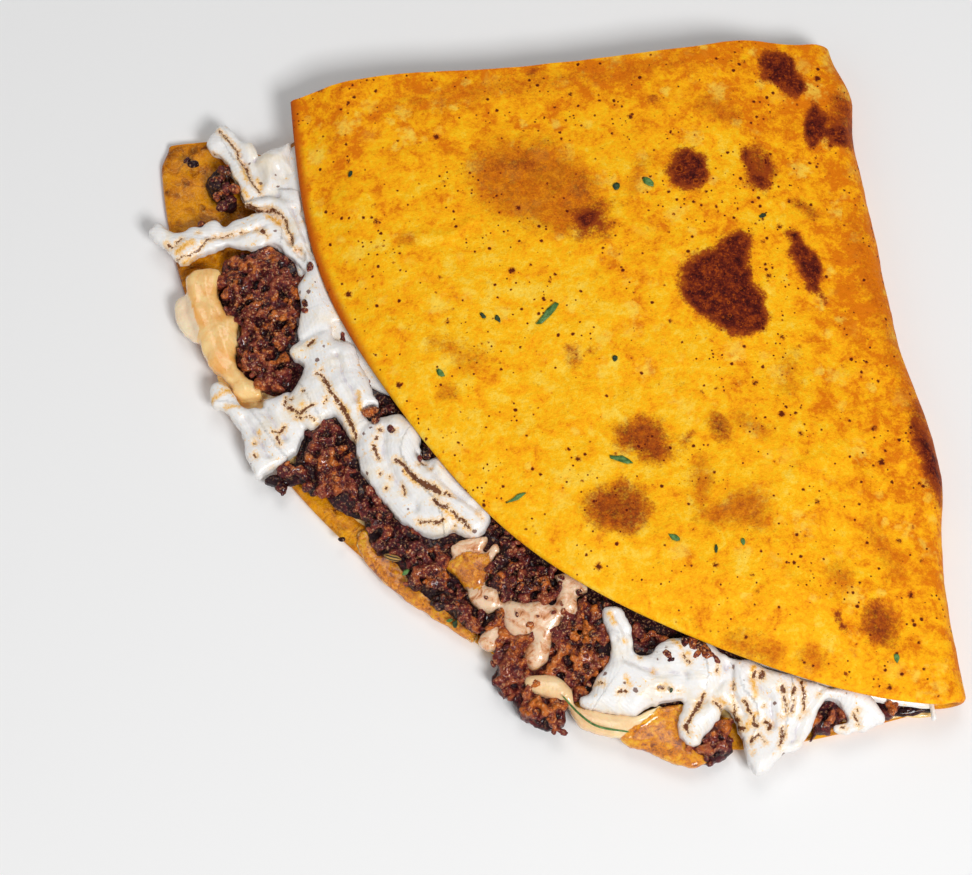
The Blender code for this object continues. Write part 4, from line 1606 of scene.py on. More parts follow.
@dataclass
class CheeseMould:
    """Gathers sheets and runs of one cheese and melts them into one skin."""

    plan: WedgePlan
    name: str
    voxel: float = 0.36
    smoothing: int = 2
    points: list[Array] = field(default_factory=list)
    faces: list = field(default_factory=list)
    count: int = 0

    def add(self, points: Array, faces: Sequence) -> None:
        """Add a closed body, in plan coordinates.

        Args:
            points: The body's points.
            faces: Its faces.
        """
        self.points.append(points)
        self.faces.extend([tuple(corner + self.count for corner in face) for face in faces])
        self.count += len(points)

    def gathered(self, attributes: Fields) -> Mesh:
        """Everything added so far, as one mesh of separate bodies."""
        points = np.concatenate(self.points)
        return build_mesh(self.name, self.plan.to_frame(*points.T), self.faces, attributes)

    def melt(self, ripple: Sequence[Place]) -> Mesh:
        """Join everything into one closed skin.

        Args:
            ripple: Sizes and depths of the fine unevenness laid over it, in millimetres.

        Returns:
            The skin's mesh, with its hollows stored on its points.
        """
        helper = bpy.data.objects.new(self.name + "_mould", self.gathered({}))
        bpy.context.collection.objects.link(helper)
        remesh = helper.modifiers.new("skin", "REMESH")
        remesh.mode = "VOXEL"
        remesh.voxel_size = self.voxel * MM
        smooth = helper.modifiers.new("smooth", "SMOOTH")
        smooth.factor = 0.5
        smooth.iterations = self.smoothing
        skin = plain_mesh(helper)
        remove_piece(helper)
        points = points_of(skin) / MM
        push(skin, sum(depth * bumps(points, size, 2.0) for size, depth in ripple))
        skin.shade_smooth()
        return skin


WHITE_SHEETS = tuple(CheeseSheet(*row) for row in (
    (places(3, 122, 0, 120, -1, 118.5, 1.5, 117.5, 4.5, 116.5, 8, 115.5, 11, 114.5, 14, 113, 16, 112, 17,
        114, 16.5, 116, 15, 117, 13, 117, 11, 118, 8, 118.5, 6.5, 119.5, 5, 121), 0.1, 2.6, 1.2),
    (places(-1.5, 118.5, 0, 117, 2, 116, 3.5, 115, 3.5, 113.5, 5, 112.5, 7, 112, 8, 113, 10.5, 113, 13.5,
        112, 15.5, 112, 14, 113.5, 11, 114.5, 7.5, 115.5, 4.5, 116.5, 1.5, 117.5), -0.5, 2.2, 1.2),
    (places(7.5, 112.5, 6.5, 111.5, 6, 109, 5, 106.5, 5.5, 105.5, 8.5, 106, 11.5, 105.5, 13, 105.5, 13,
        107, 11.5, 108.5, 13.5, 108.5, 15, 109.5, 16, 111, 15.5, 112.5, 13, 112.5, 10.5, 112.5, 9, 113),
        0.2, 4.2, 2.4),
    (places(15, 109.5, 15.5, 107.5, 16, 105.5, 17.5, 105, 21, 105, 20.5, 106, 19, 107.5, 17.5, 108.5), 0.6,
        1.6, 0.8),
    (places(18, 133, 19.5, 131.5, 21, 130, 21, 128, 20, 126.5, 20.5, 124.5, 19.5, 122.5, 20, 121, 21,
        120.5, 20.5, 119, 20, 117, 19.5, 115, 19.5, 112.5, 20.5, 111, 22.5, 110, 25, 109, 27.5, 108.5,
        29.5, 107.5, 31.5, 106, 34, 104.5, 37, 103.5, 36, 105, 33.5, 106.5, 31, 108, 29.5, 109.5, 27.5,
        110.5, 26.5, 112, 27, 114.5, 26.5, 117.5, 25.5, 120, 26, 122.5, 26.5, 125, 27, 126.5, 28, 128.5,
        27.5, 130, 25.5, 131, 23.5, 132.5, 21, 134.5, 20, 135), 0.5, 2.6, 1.3),
    (places(17.5, 116.5, 17, 115, 16.5, 112.5, 16.5, 110.5, 17.5, 108, 19.5, 106, 21, 105.5, 24.5, 104.5,
        28, 104, 31.5, 103, 34.5, 102.5, 37.5, 102.5, 37.5, 104, 35, 104.5, 32.5, 105.5, 30, 106, 28.5,
        107, 28.5, 108, 26.5, 108, 23.5, 109, 21.5, 110, 19.5, 111.5, 19, 114), 1, 2.8, 1.4),
    (places(32, 104.5, 33, 102, 37.5, 102, 41, 101, 45, 100, 45.5, 102, 47, 103, 47.5, 106, 47.5, 109,
        44.5, 109, 40.5, 108, 36.5, 108, 34, 106.5), 0.7, 3.2, 1.6),
    (places(47.5, 109, 46, 105.5, 46, 102.5, 48.5, 102.5, 49, 100, 51, 98.5, 54.5, 98, 57.5, 97, 60.5,
        96.5, 63, 95.5, 63, 97.5, 64, 99, 66, 98, 68, 99.5, 69.5, 101, 68, 102.5, 65, 103.5, 63, 104.5,
        64.5, 107, 65, 109.5, 63.5, 111.5, 61.5, 113, 59, 113.5, 57.5, 112, 55.5, 110.5, 52.5, 109, 50,
        111, 48.5, 111), 0.9, 3.2, 1.8),
    (places(56.5, 112, 57, 114, 57.5, 116.5, 58.5, 119.5, 57.5, 121, 55.5, 122, 53.5, 123.5, 52.5, 125,
        53.5, 126.5, 55.5, 127, 57.5, 126.5, 58, 125, 60, 123.5, 61.5, 122.5, 65, 122, 67.5, 121.5, 71,
        120.5, 73, 120, 72, 118.5, 71, 116.5, 70, 114, 68.5, 112, 66, 110.5, 63.5, 110, 61, 111), 0.2, 3.2,
        1.6),
    (places(69.5, 101.5, 66.5, 100, 65.5, 98, 65, 95, 65, 92.5, 67, 90.5, 69.5, 89, 72, 89.5, 74.5, 88.5,
        74.5, 86, 77.5, 84.5, 80, 83, 82, 81.5, 84.5, 79.5, 87, 78.5, 89, 79.5, 91, 81.5, 90.5, 84, 89, 86,
        89.5, 88, 89, 90.5, 87.5, 93, 85, 95.5, 82, 97.5, 79, 99, 76, 100.5, 73, 101), 1, 3.6, 2.2),
    (places(107.5, 61.5, 107, 60, 108, 58.5, 110, 57.5, 112, 57, 114, 57, 116.5, 56.5, 117, 54.5, 115.5,
        53, 115, 50, 115, 47.5, 115.5, 45, 117.5, 43, 120, 41.5, 122.5, 42, 125, 44, 126.5, 46.5, 126,
        49.5, 126, 52.5, 126, 55.5, 127, 58.5, 126.5, 61.5, 125.5, 64.5, 124, 67.5, 122.5, 68, 121.5, 66,
        119.5, 65, 117.5, 62.5, 115.5, 61.5, 112, 61.5, 109.5, 62), 0.8, 3.4, 2.2),
    (places(126, 49, 126.5, 46.5, 126, 45, 128, 43, 130, 44, 131.5, 46, 133.5, 48, 134, 49.5, 133, 51, 131,
        51.5, 128.5, 51.5, 127, 50.5), 0.4, 3.2, 2),
    (places(118, 43, 120, 40, 121, 36.5, 123, 33.5, 124.5, 30, 126, 27, 127.5, 23, 128, 18.5, 129, 17,
        131.5, 16, 134, 15, 135, 17, 135.5, 19.5, 134.5, 21, 132.5, 22, 130.5, 23, 129.5, 25, 130.5, 26,
        133, 27.5, 135.5, 29.5, 137, 30.5, 137.5, 32.5, 138, 35, 140, 37, 141, 39, 140, 40, 137.5, 40.5,
        134.5, 40.5, 132, 41.5, 129, 42, 127.5, 43.5, 125.5, 45.5, 124, 43, 121.5, 42), 0.5, 3.4, 1.8),
    (places(133.5, 24, 133.5, 22, 134.5, 20.5, 135, 19, 135.5, 21, 135.5, 23, 135, 24.5), 0, 1.8, 0.9),
    (places(9, 114, 7.5, 112, 6.2, 109, 5.8, 106, 12, 106, 19.5, 105, 32.5, 103.5, 35.5, 104, 34, 106.5,
        29.5, 108.9, 26, 112, 21.5, 114, 15, 114.5), -1, 2.4, 1.2),
    (places(131.5, 7, 132, 6, 134, 5.5, 136, 6.5, 135, 7), -0.6, 1.4, 0.7),
))

SPICE_MARKS = (
    (0.3, places(1, 119, 3, 117.5, 5, 116.5, 7.5, 116, 9.5, 115, 12, 114.5, 14, 113.5, 15.5, 112.5)),
    (0.25, places(5.5, 121, 7, 119.5, 9, 118.5, 11, 118, 13, 117, 15.5, 116.5, 17, 116.5)),
    (0.3, places(17.5, 116.5, 18, 115, 19, 114, 19.5, 112.5, 19.5, 111, 20.5, 110, 22, 109, 24.5, 108.5,
        26, 108, 27.5, 108)),
    (0.2, places(28.5, 107.5, 29, 106.5)),
    (0.25, places(27, 130.5, 26.5, 127.5, 25.5, 125.5, 24, 124, 23.5, 122.5, 23.5, 120.5, 23.5, 119)),
    (0.3, places(23.5, 117.5, 23.5, 116.5)), (0.35, places(23.5, 114.5, 23.5, 114.5)),
    (0.5, places(24, 113.5, 24.5, 113)), (0.2, places(25, 112.5, 25.5, 112.5)),
    (0.25, places(23.5, 131.5, 24.5, 130.5, 24, 129.5)), (0.25, places(23.5, 129.5, 23, 128.5)),
    (0.2, places(22, 125.5)),
    (0.4, places(55, 106.5, 56, 105.5, 58, 105, 59.5, 104.5, 61.5, 103.5, 63, 102.5, 65, 102, 66.5, 101.5,
        68.5, 101)),
    (0.35, places(58.5, 113, 60, 113, 61, 112, 62, 110.5, 61.5, 109.5, 61, 108)),
    (0.3, places(62.5, 111.5, 63, 110.5, 63, 109, 64, 108)), (0.4, places(59, 112)),
    (0.3, places(58, 109.5)), (0.3, places(61, 106)), (0.2, places(60, 105.5, 61.5, 106)),
    (0.45, places(49, 107.5, 48.5, 106.5)), (0.2, places(54.5, 105.5)),
    (0.3, places(64.5, 116, 65, 115, 64, 113.5)), (0.4, places(66, 115.5, 67, 115)),
    (0.2, places(64.5, 118.5)), (0.4, places(66, 119.5)), (0.35, places(68.5, 120, 69, 119.5)),
    (0.45, places(74.5, 94.5, 75.5, 93.5, 77, 92.5, 78.5, 91.5)),
    (0.6, places(78.5, 91.5, 80, 90, 81, 88.5, 82, 87.5)), (0.4, places(82.5, 86.5, 83, 85.5)),
    (0.5, places(83.5, 88.5, 84.5, 87.5, 85, 86.5)), (0.35, places(85.5, 86, 87, 85, 88, 84, 89.5, 83)),
    (0.2, places(87, 81, 88, 80.5)), (0.3, places(86.5, 92, 87, 90.5, 87, 89.5)),
    (0.4, places(87.5, 89, 87.5, 88.5, 87, 87.5)), (0.3, places(88.5, 85.5)), (0.4, places(76.5, 97.5)),
    (0.3, places(77.5, 96)), (0.35, places(79.5, 97)), (0.35, places(79.5, 94, 81, 94)),
    (0.45, places(68, 96.5)), (0.5, places(69.5, 97.5)), (0.4, places(71, 98, 73.5, 97.5)),
    (0.5, places(69, 94)), (0.45, places(75.5, 89.5)), (0.25, places(76, 90.5)), (0.2, places(77, 88.5)),
    (0.2, places(80, 91)), (0.2, places(117.5, 56.5)), (0.2, places(120.5, 54.5)),
    (0.35, places(123.5, 54, 123.5, 53)), (0.2, places(124, 52)), (0.2, places(124.5, 50.5)),
    (0.25, places(120.5, 64.5, 121, 63.5)), (0.35, places(123, 61, 123, 60)),
    (0.3, places(118.5, 49, 119.5, 48.5, 120, 48)), (0.25, places(121.5, 43, 122.5, 43.5)),
    (0.4, places(126, 46.5, 127.5, 47.5, 128.5, 48.5, 129.5, 49.5, 130.5, 50.5, 131.5, 50)),
    (0.35, places(127, 44.5, 128.5, 43.5)), (0.3, places(128, 41.5, 130, 41.5, 131, 41)),
    (0.45, places(131.5, 41.5, 132.5, 40.5)), (0.45, places(123.5, 37, 124.5, 37)),
    (0.45, places(123.5, 35.5, 124.5, 36)), (0.3, places(124.5, 41, 125.5, 41)), (0.2, places(127, 41.5)),
    (0.45, places(126.5, 32.5, 127.5, 32.5)), (0.3, places(128.5, 32.5, 131, 32.5)),
    (0.35, places(127, 30.5, 129, 31, 131, 31.5)), (0.35, places(126, 29, 128.5, 29, 130.5, 29, 131, 29)),
    (0.35, places(128, 39.5, 129.5, 39, 131, 38.5, 132, 38.5)), (0.45, places(132, 38.5, 132.5, 38)),
    (0.4, places(132, 36.5, 132.5, 35.5, 133.5, 36)),
    (0.35, places(135, 39.5, 134.5, 39, 134, 38, 135.5, 37)), (0.25, places(129.5, 36)),
    (0.35, places(133.5, 33.5, 135.5, 34, 136.5, 34.5)), (0.25, places(131.5, 33.5)),
    (0.25, places(132, 30)), (0.2, places(137, 39.5)), (0.25, places(127.5, 24)),
    (0.2, places(129, 26.5)), (0.25, places(132.5, 20)), (0.35, places(133, 20.5, 134.5, 20)),
    (0.3, places(134.5, 23, 134.5, 22.5)),
)
OCHRE_MARKS = (
    (0.8, places(25.5, 129.5, 24.5, 128, 24, 126.5)), (0.45, places(27.5, 129, 27, 126)),
    (0.45, places(20, 124, 19.5, 122.5)), (0.65, places(19, 116, 20, 115)),
    (0.65, places(21, 112, 21.5, 111, 22.5, 110)), (0.55, places(12.5, 113, 14.5, 112.5)),
    (0.4, places(9.5, 115.5, 13, 115)), (0.55, places(14.5, 116, 16, 115.5)),
    (0.65, places(62, 103, 63.5, 102)), (0.55, places(60.5, 99.5, 63.5, 99.5)), (0.55, places(60.5, 110)),
    (0.55, places(56.5, 126.5, 55.5, 124.5, 55, 123)), (0.45, places(53, 124.5, 54.5, 123)),
    (0.45, places(58.5, 121.5, 58, 124)), (0.65, places(77, 93, 80, 91)),
    (0.55, places(85, 87.5, 87, 85.5)), (0.55, places(109, 60.5, 111, 60)), (0.55, places(114.5, 58.5)),
    (0.45, places(120.5, 59.5, 122, 59)), (0.55, places(123, 61)), (0.65, places(132.5, 40, 130.5, 38)),
    (0.55, places(127, 43.5, 127.5, 43)), (0.45, places(126.5, 28.5, 125.5, 29.5)),
    (0.45, places(115, 50.5, 117, 49)), (0.55, places(118.5, 48)),
    (0.6, places(122.5, 37, 124, 37.5, 126.5, 37.5, 127.5, 37.5)),
)

CHEESE_FOLDS = (
    (0.8, places(68.5, 96, 73, 96.5, 79, 95, 84, 92)),
    (0.8, places(73.5, 90, 78.5, 87.5, 83, 84, 86, 81)),
    (0.7, places(52, 102.5, 57, 101.5, 61.5, 100)),
    (0.7, places(54, 120, 60, 117, 66, 114)),
    (0.7, places(61, 121, 65, 119, 69, 117.5)),
    (0.8, places(114, 60, 118, 58, 121, 54, 122, 49)),
    (0.7, places(109.5, 59.5, 113, 58, 117, 59)),
    (0.7, places(124, 38, 128, 35, 133, 35)),
    (0.7, places(121, 41, 126, 41.5, 130, 40)),
    (0.7, places(128, 26, 132, 29.5, 136, 32)),
    (0.6, places(23, 113, 24, 119, 23, 124)),
    (0.6, places(20, 107, 26, 105.5, 31, 104.5)),
)


@dataclass(frozen=True)
class WhiteCheese:
    """White cheese: a thin bed under the flap, and folded sheets and drips out on the crescent."""

    plan: WedgePlan
    finish: WhiteCheeseFinish
    share: float = 0.24
    body: float = 0.2
    least: float = 0.5
    soft: Place = (0.8, 1.7)
    groove: float = 0.8
    spice_groove: float = 0.3
    fibre: Place = (0.03, 1.7)
    strays: tuple[Place, ...] = ((0.32, 1.3), (0.2, 3.5))
    full_hollow: float = 0.045
    ripple: tuple[Place, ...] = ((3.6, 0.26), (1.5, 0.07))

    def heights(self, grid: Fields) -> tuple[Array, Array]:
        """Underside and top of the bed over a lattice.

        Args:
            grid: The lattice.

        Returns:
            Both heights over the lattice.
        """
        ceiling = self.plan.ceiling(grid["along"], grid["across"])
        height = ceiling - grid["floor"]
        rounding = 1.0 - smooth_step(grid["inside"] / 4.0)
        bottom = grid["floor"] + (1.0 - self.share) * height - self.least - 0.6 * rounding
        swell = self.body * smooth_step((grid["share"] - 0.02) / 0.3)
        top = ceiling + swell - 1.3 * rounding
        uneven = 0.3 * plan_bumps(grid["along"], grid["across"], 4.0, 6.0)
        top = top + uneven * smooth_step(grid["share"] / 0.1)
        return bottom, np.maximum(top, bottom + self.least)

    def hidden_bed(self, material: Material) -> Piece:
        """The bed under the flap, which shows on the cut.

        Args:
            material: The cheese's finish.

        Returns:
            The piece.
        """
        lattice = LayerLattice(self.plan, WHITE_BED_REACH, spokes=110, hidden_rings=60, shown_rings=5,
                               tucked=4.0)
        grid = lattice.grid()
        return slab_piece(self.plan, "white_cheese_bed", grid, self.heights(grid), material, 3, 0.45)

    def build(self) -> list[Piece]:
        """Make the sheets and the bed, and dress them.

        Returns:
            The sheets and the bed.
        """
        material = self.finish.material()
        mould = CheeseMould(self.plan, "white_cheese_sheets")
        for sheet in WHITE_SHEETS:
            mould.add(*sheet.body(self.plan))
        mesh = mould.melt(self.ripple)
        self.carve(mesh)
        sheets = add_piece("white_cheese_sheets", mesh, material)
        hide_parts("white_cheese")
        return [sheets, self.hidden_bed(material)]

    def fibres(self, along: Array, across: Array) -> Array:
        """Signed distance of plan points from the fold nearest to them.

        Args:
            along: Plan points, along.
            across: Plan points, across.

        Returns:
            The distances.
        """
        lines = [centre_line(np.array(path)) for _, path in CHEESE_FOLDS]
        line, side = np.concatenate(lines), np.concatenate([side_of(one) for one in lines])
        tree = kdtree.KDTree(len(line))
        for number, (place_along, place_across) in enumerate(line.tolist()):
            tree.insert((place_along, place_across, 0.0), number)
        tree.balance()
        nearest = np.array([tree.find((*place, 0.0))[1] for place in zip(along.tolist(), across.tolist())])
        return (along - line[nearest, 0]) * side[nearest, 0] + (across - line[nearest, 1]) * side[nearest, 1]

    def carve(self, mesh: Mesh) -> None:
        """Sink the folds and the creases where spice lies, draw faint fibres, and store all of them.

        Args:
            mesh: The sheets' mesh.
        """
        points = points_of(mesh)
        along, across, height = self.plan.to_plan(points)
        strewn = points / MM
        bent_along, bent_across = along, across
        for reach, size in self.strays:
            bent_along = bent_along + reach * bumps(strewn, size, 5.0)
            bent_across = bent_across + reach * bumps(strewn, size, 8.0)
        upper = smooth_step((height - self.plan.ceiling(along, across) + 2.6) / 1.2)
        spice = nearness(bent_along, bent_across, SPICE_MARKS, self.soft[0], -0.05) * upper
        near = nearness(bent_along, bent_across, SPICE_MARKS, self.soft[1], 0.7)
        ochre = np.maximum(nearness(bent_along, bent_across, OCHRE_MARKS, 1.4, 0.2), 0.85 * near) * upper
        gaps = [(path_distance(bent_along, bent_across, path), width) for width, path in CHEESE_FOLDS]
        crease = sum(bell(gap, 0.0, width) for gap, width in gaps)
        fibre = self.fibres(along, across)
        tall, pitch = self.fibre
        strands = np.sin(fibre * math.tau / pitch + 2.2 * bumps(strewn, 3.5, 5.0))
        lift = tall * strands * bumps(strewn, 5.0, 9.0)
        sunk = self.groove * np.clip(crease, 0.0, 1.0) + self.spice_groove * spice
        push(mesh, lift - sunk * upper)
        set_attribute(mesh, "spice", spice)
        set_attribute(mesh, "ochre", ochre)
        set_attribute(mesh, "fibre", fibre)
        set_attribute(mesh, "hollow", np.clip(hollows(mesh) / self.full_hollow, 0.0, 1.5))


def slab_piece(plan: WedgePlan, name: str, grid: Fields, heights: Sequence[Array], material: Material,
               wall_rows: int, bulge: float, extra: Fields | None = None) -> Piece:
    """Make a filling layer over a lattice as one closed piece.

    Args:
        plan: The wedge's plan.
        name: Name of the piece.
        grid: The lattice.
        heights: Heights of the underside and of the top.
        material: The layer's finish.
        wall_rows: Rows of points up its walls.
        bulge: How far its walls swell, in millimetres.
        extra: Values over the lattice to store on the points; walls keep the value at their foot.

    Returns:
        The new piece.
    """
    low, high = (plan.to_frame(grid["along"], grid["across"], height) for height in heights)

    def swell(spots: Array, share: float) -> Array:
        """Outward move of wall points."""
        uneven = 0.6 + 0.7 * bumps(spots / MM, 2.6, 1.0) + 0.4 * bumps(spots / MM, 1.1, 4.0)
        return bulge * MM * math.sin(math.pi * share) * uneven

    vertices, faces = closed_slab(low, high, wall_rows, swell)
    loop = grid_rim(*grid["along"].shape)
    attributes = {"hollow": np.zeros(len(vertices)), "tone": np.full(len(vertices), 0.5)}
    for label, values in (extra or {}).items():
        flat = values.ravel()
        attributes[label] = np.concatenate([flat * 0.0, flat] + [flat[loop]] * wall_rows)
    return add_piece(name, build_mesh(name, vertices, faces, attributes), material)


MELTED_SHEETS = tuple(CheeseSheet(*row) for row in (
    (places(30, 128.5, 28.5, 126.5, 29.5, 122, 32, 122.5, 35, 123, 38, 122, 40, 120, 43, 120, 45.5, 120.5,
        49, 121, 52, 119.5, 54, 117.5, 56.5, 117, 57, 119.5, 56, 122, 52.5, 123.5, 50, 125.5, 46.5, 127,
        44, 127.7, 41, 128.5, 37.5, 129, 34, 129.3, 31.5, 129.3), -0.5, 3, 1.3, 0.5),
    (places(33, 129, 34.4, 131.2, 36.4, 132, 39.4, 131.3, 42, 130.1, 43.6, 128.2, 41.6, 127.2, 38.2, 128,
        35.4, 128.2), -1.6, 2, 0.9, 0.3),
    (places(100, 85, 99.5, 82, 100.5, 79.5, 103.5, 79.5, 104.5, 81.5, 103.5, 83.5, 101.5, 85), -0.2, 2.6,
        1.2),
    (places(103, 79, 103.5, 75.5, 104, 72, 105, 70, 102.5, 69, 102.5, 67, 105.5, 65.5, 107.5, 66, 108.5,
        68.5, 112, 71.5, 115, 72.5, 116, 75.5, 113.5, 76.5, 110.5, 75.5, 109.5, 78, 106.5, 79.5), -0.1,
        3.2, 1.8),
    (places(108, 83.5, 106.5, 80.5, 109.5, 80, 111.5, 82, 110, 84), -0.3, 2.4, 1.2),
    (places(91.5, 87, 90.5, 84, 90.5, 81, 90.5, 79.5, 93, 81, 93.5, 84, 93.5, 86.5), -0.3, 2.4, 1),
    (places(93.5, 80.5, 92, 78.5, 93.5, 77.5, 95, 79.5), -0.3, 2.2, 0.9),
    (places(100, 69, 100, 66, 103.5, 63, 104.5, 65.5, 102.5, 68.5), -0.2, 2.4, 1),
    (places(117, 77, 117, 73.5, 118, 71, 120.5, 69, 123.5, 69, 122.5, 71.5, 121, 74.5, 119, 77), 0, 3,
        1.6),
    (places(123, 70, 124, 67, 125.5, 63, 126.5, 58, 125.5, 53.5, 128, 55.5, 129, 58.5, 130.5, 60.5, 130,
        63.5, 128.5, 67, 126, 69.5), -0.9, 2.6, 1.4),
    (places(94.5, 88.5, 93, 84.5, 94, 80, 96.5, 80, 100.5, 82.5, 99, 85.5, 96.5, 87), -0.5, 2.2, 1.2),
    (places(108.5, 85, 106.3, 88, 103, 91.5, 98.7, 96.2, 93.8, 100.3, 90, 102.8, 86, 103.5, 84, 101.5, 88,
        98.5, 91.5, 95, 96, 91.5, 100, 88, 103, 84.5, 106, 83.5), -3.6, 1.6, 0.7, 0.3),
    (places(130.5, 62, 129, 59.5, 127.7, 56.6, 126, 54, 125.6, 50, 127, 49, 128.6, 50.5, 130.7, 50.5, 133,
        48.5, 135, 47, 137, 47.5, 137.6, 50, 136, 53.5, 133.6, 57.5, 132.1, 60.5), -1.9, 2, 0.9, 0.4),
))

TONGUE_FOLDS = (
    (0.8, places(31, 127.5, 36.5, 127.5, 42, 126, 47.5, 125, 52, 123)),
    (0.7, places(31, 125, 36, 125, 41, 124, 45.5, 123, 51, 121.5, 55, 120)),
    (0.6, places(31.5, 123.5, 35.5, 124, 40.5, 122, 44.5, 122)),
)


@dataclass(frozen=True)
class MeltedCheese:
    """Melted cheese: the sheet that the beef sits in, and the soft tongues and drops that show."""

    plan: WedgePlan
    finish: MeltedCheeseFinish
    share: float = 0.16
    least: float = 0.9
    ridge: float = 0.28
    ripple: tuple[Place, ...] = ((3.4, 0.22), (1.3, 0.07))

    def heights(self, grid: Fields) -> tuple[Array, Array]:
        """Underside and top of the sheet over a lattice.

        Args:
            grid: The lattice.

        Returns:
            Both heights over the lattice.
        """
        height = self.plan.ceiling(grid["along"], grid["across"]) - grid["floor"]
        thick = np.maximum(self.share * height, self.least)
        rounding = 1.0 - smooth_step(grid["inside"] / 3.0)
        uneven = 0.22 * plan_bumps(grid["along"], grid["across"], 5.0, 8.0)
        bottom = grid["floor"] - 0.25
        return bottom, bottom + np.maximum(thick + 0.3 + uneven - 0.7 * rounding, 0.35)

    def build(self) -> list[Piece]:
        """Make the sheet and the tongues, and dress them.

        Returns:
            The sheet and the tongues.
        """
        material = self.finish.material()
        grid = LayerLattice(self.plan, MELTED_REACH, spokes=190, hidden_rings=40, shown_rings=30,
                            tucked=5.0).grid()
        sheet = slab_piece(self.plan, "melted_cheese_sheet", grid, self.heights(grid), material, 3, 0.55)
        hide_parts("melted_cheese")
        mould = CheeseMould(self.plan, "melted_cheese_tongues", 0.42, 4)
        for patch in MELTED_SHEETS:
            mould.add(*patch.body(self.plan))
        mesh = mould.melt(self.ripple)
        along, across, height = self.plan.to_plan(points_of(mesh))
        below = self.plan.ceiling(along, across) - height
        ridge = sum(bell(path_distance(along, across, path), 0.0, width) for width, path in TONGUE_FOLDS)
        push(mesh, self.ridge * np.clip(ridge, 0.0, 1.0) * (below < 2.0))
        stretch = smooth_step((along - 54.0) / 6.0) * smooth_step((118.0 - along) / 3.0)
        stretch = stretch * (across > 50.0) * (below < 1.6)
        clustered = smooth_step((plan_bumps(along, across, 3.0, 4.0) - 0.05) / 0.2)
        oily = [inside_outline(along, across, patch.outline) for patch in MELTED_SHEETS[-3:]]
        milky = 0.5 * (along > 117.0) * (across > 55.0)
        milky = milky + inside_outline(along, across, MELTED_SHEETS[1].outline)
        stored = {"hollow": np.clip(hollows(mesh) / 0.06, 0.0, 1.2), "soaked": stretch * 0.68,
                  "oily": 0.85 * np.any(oily, axis=0), "bare": stretch * 0.4 * clustered,
                  "milky": np.clip(milky, 0.0, 1.0)}
        for name, values in stored.items():
            set_attribute(mesh, name, values)
        return [sheet, add_piece("melted_cheese_tongues", mesh, material)]


class Shape(Enum):
    """Named inputs of the tree that strews crumbs."""

    SPACING = "Spacing"
    SMALLEST = "Smallest"
    LARGEST = "Largest"
    WARP = "Warp"
    GRAIN = "Grain Height"
    GRAIN_SCALE = "Grain Scale"
    LIFT = "Lift"
    SEED = "Seed"
    WHERE = "Where"
    MORE = "More Ground"


LENGTHS = (Shape.SPACING, Shape.WARP, Shape.GRAIN, Shape.LIFT)


class TreeBench(Bench):
    """Lays out one Geometry Nodes tree that takes a surface and the values named by Shape."""

    def __init__(self, name: str) -> None:
        """Start a tree with its inputs and its output."""
        super().__init__(bpy.data.node_groups.new(name, "GeometryNodeTree"))
        kinds = {Shape.SEED: "Int", Shape.WHERE: "String", Shape.MORE: "Object"}
        offers = [("Ground", "Geometry")] + [(shape.value, kinds.get(shape, "Float")) for shape in Shape]
        for label, kind in offers:
            self.tree.interface.new_socket(label, in_out="INPUT", socket_type="NodeSocket" + kind)
        self.tree.interface.new_socket("Crumbs", in_out="OUTPUT", socket_type="NodeSocketGeometry")
        self.given = self.tree.nodes.new("NodeGroupInput").outputs

    def scaled(self, vector: Socket, factor: Socket) -> Socket:
        """A vector times a number."""
        return self.node("ShaderNodeVectorMath", {0: vector, "Scale": factor}, 0, operation="SCALE")

    def moved(self, geometry: Socket, offset: Socket) -> Socket:
        """Geometry whose points are moved by an offset."""
        return self.node("GeometryNodeSetPosition", {"Geometry": geometry, "Offset": offset}, "Geometry")


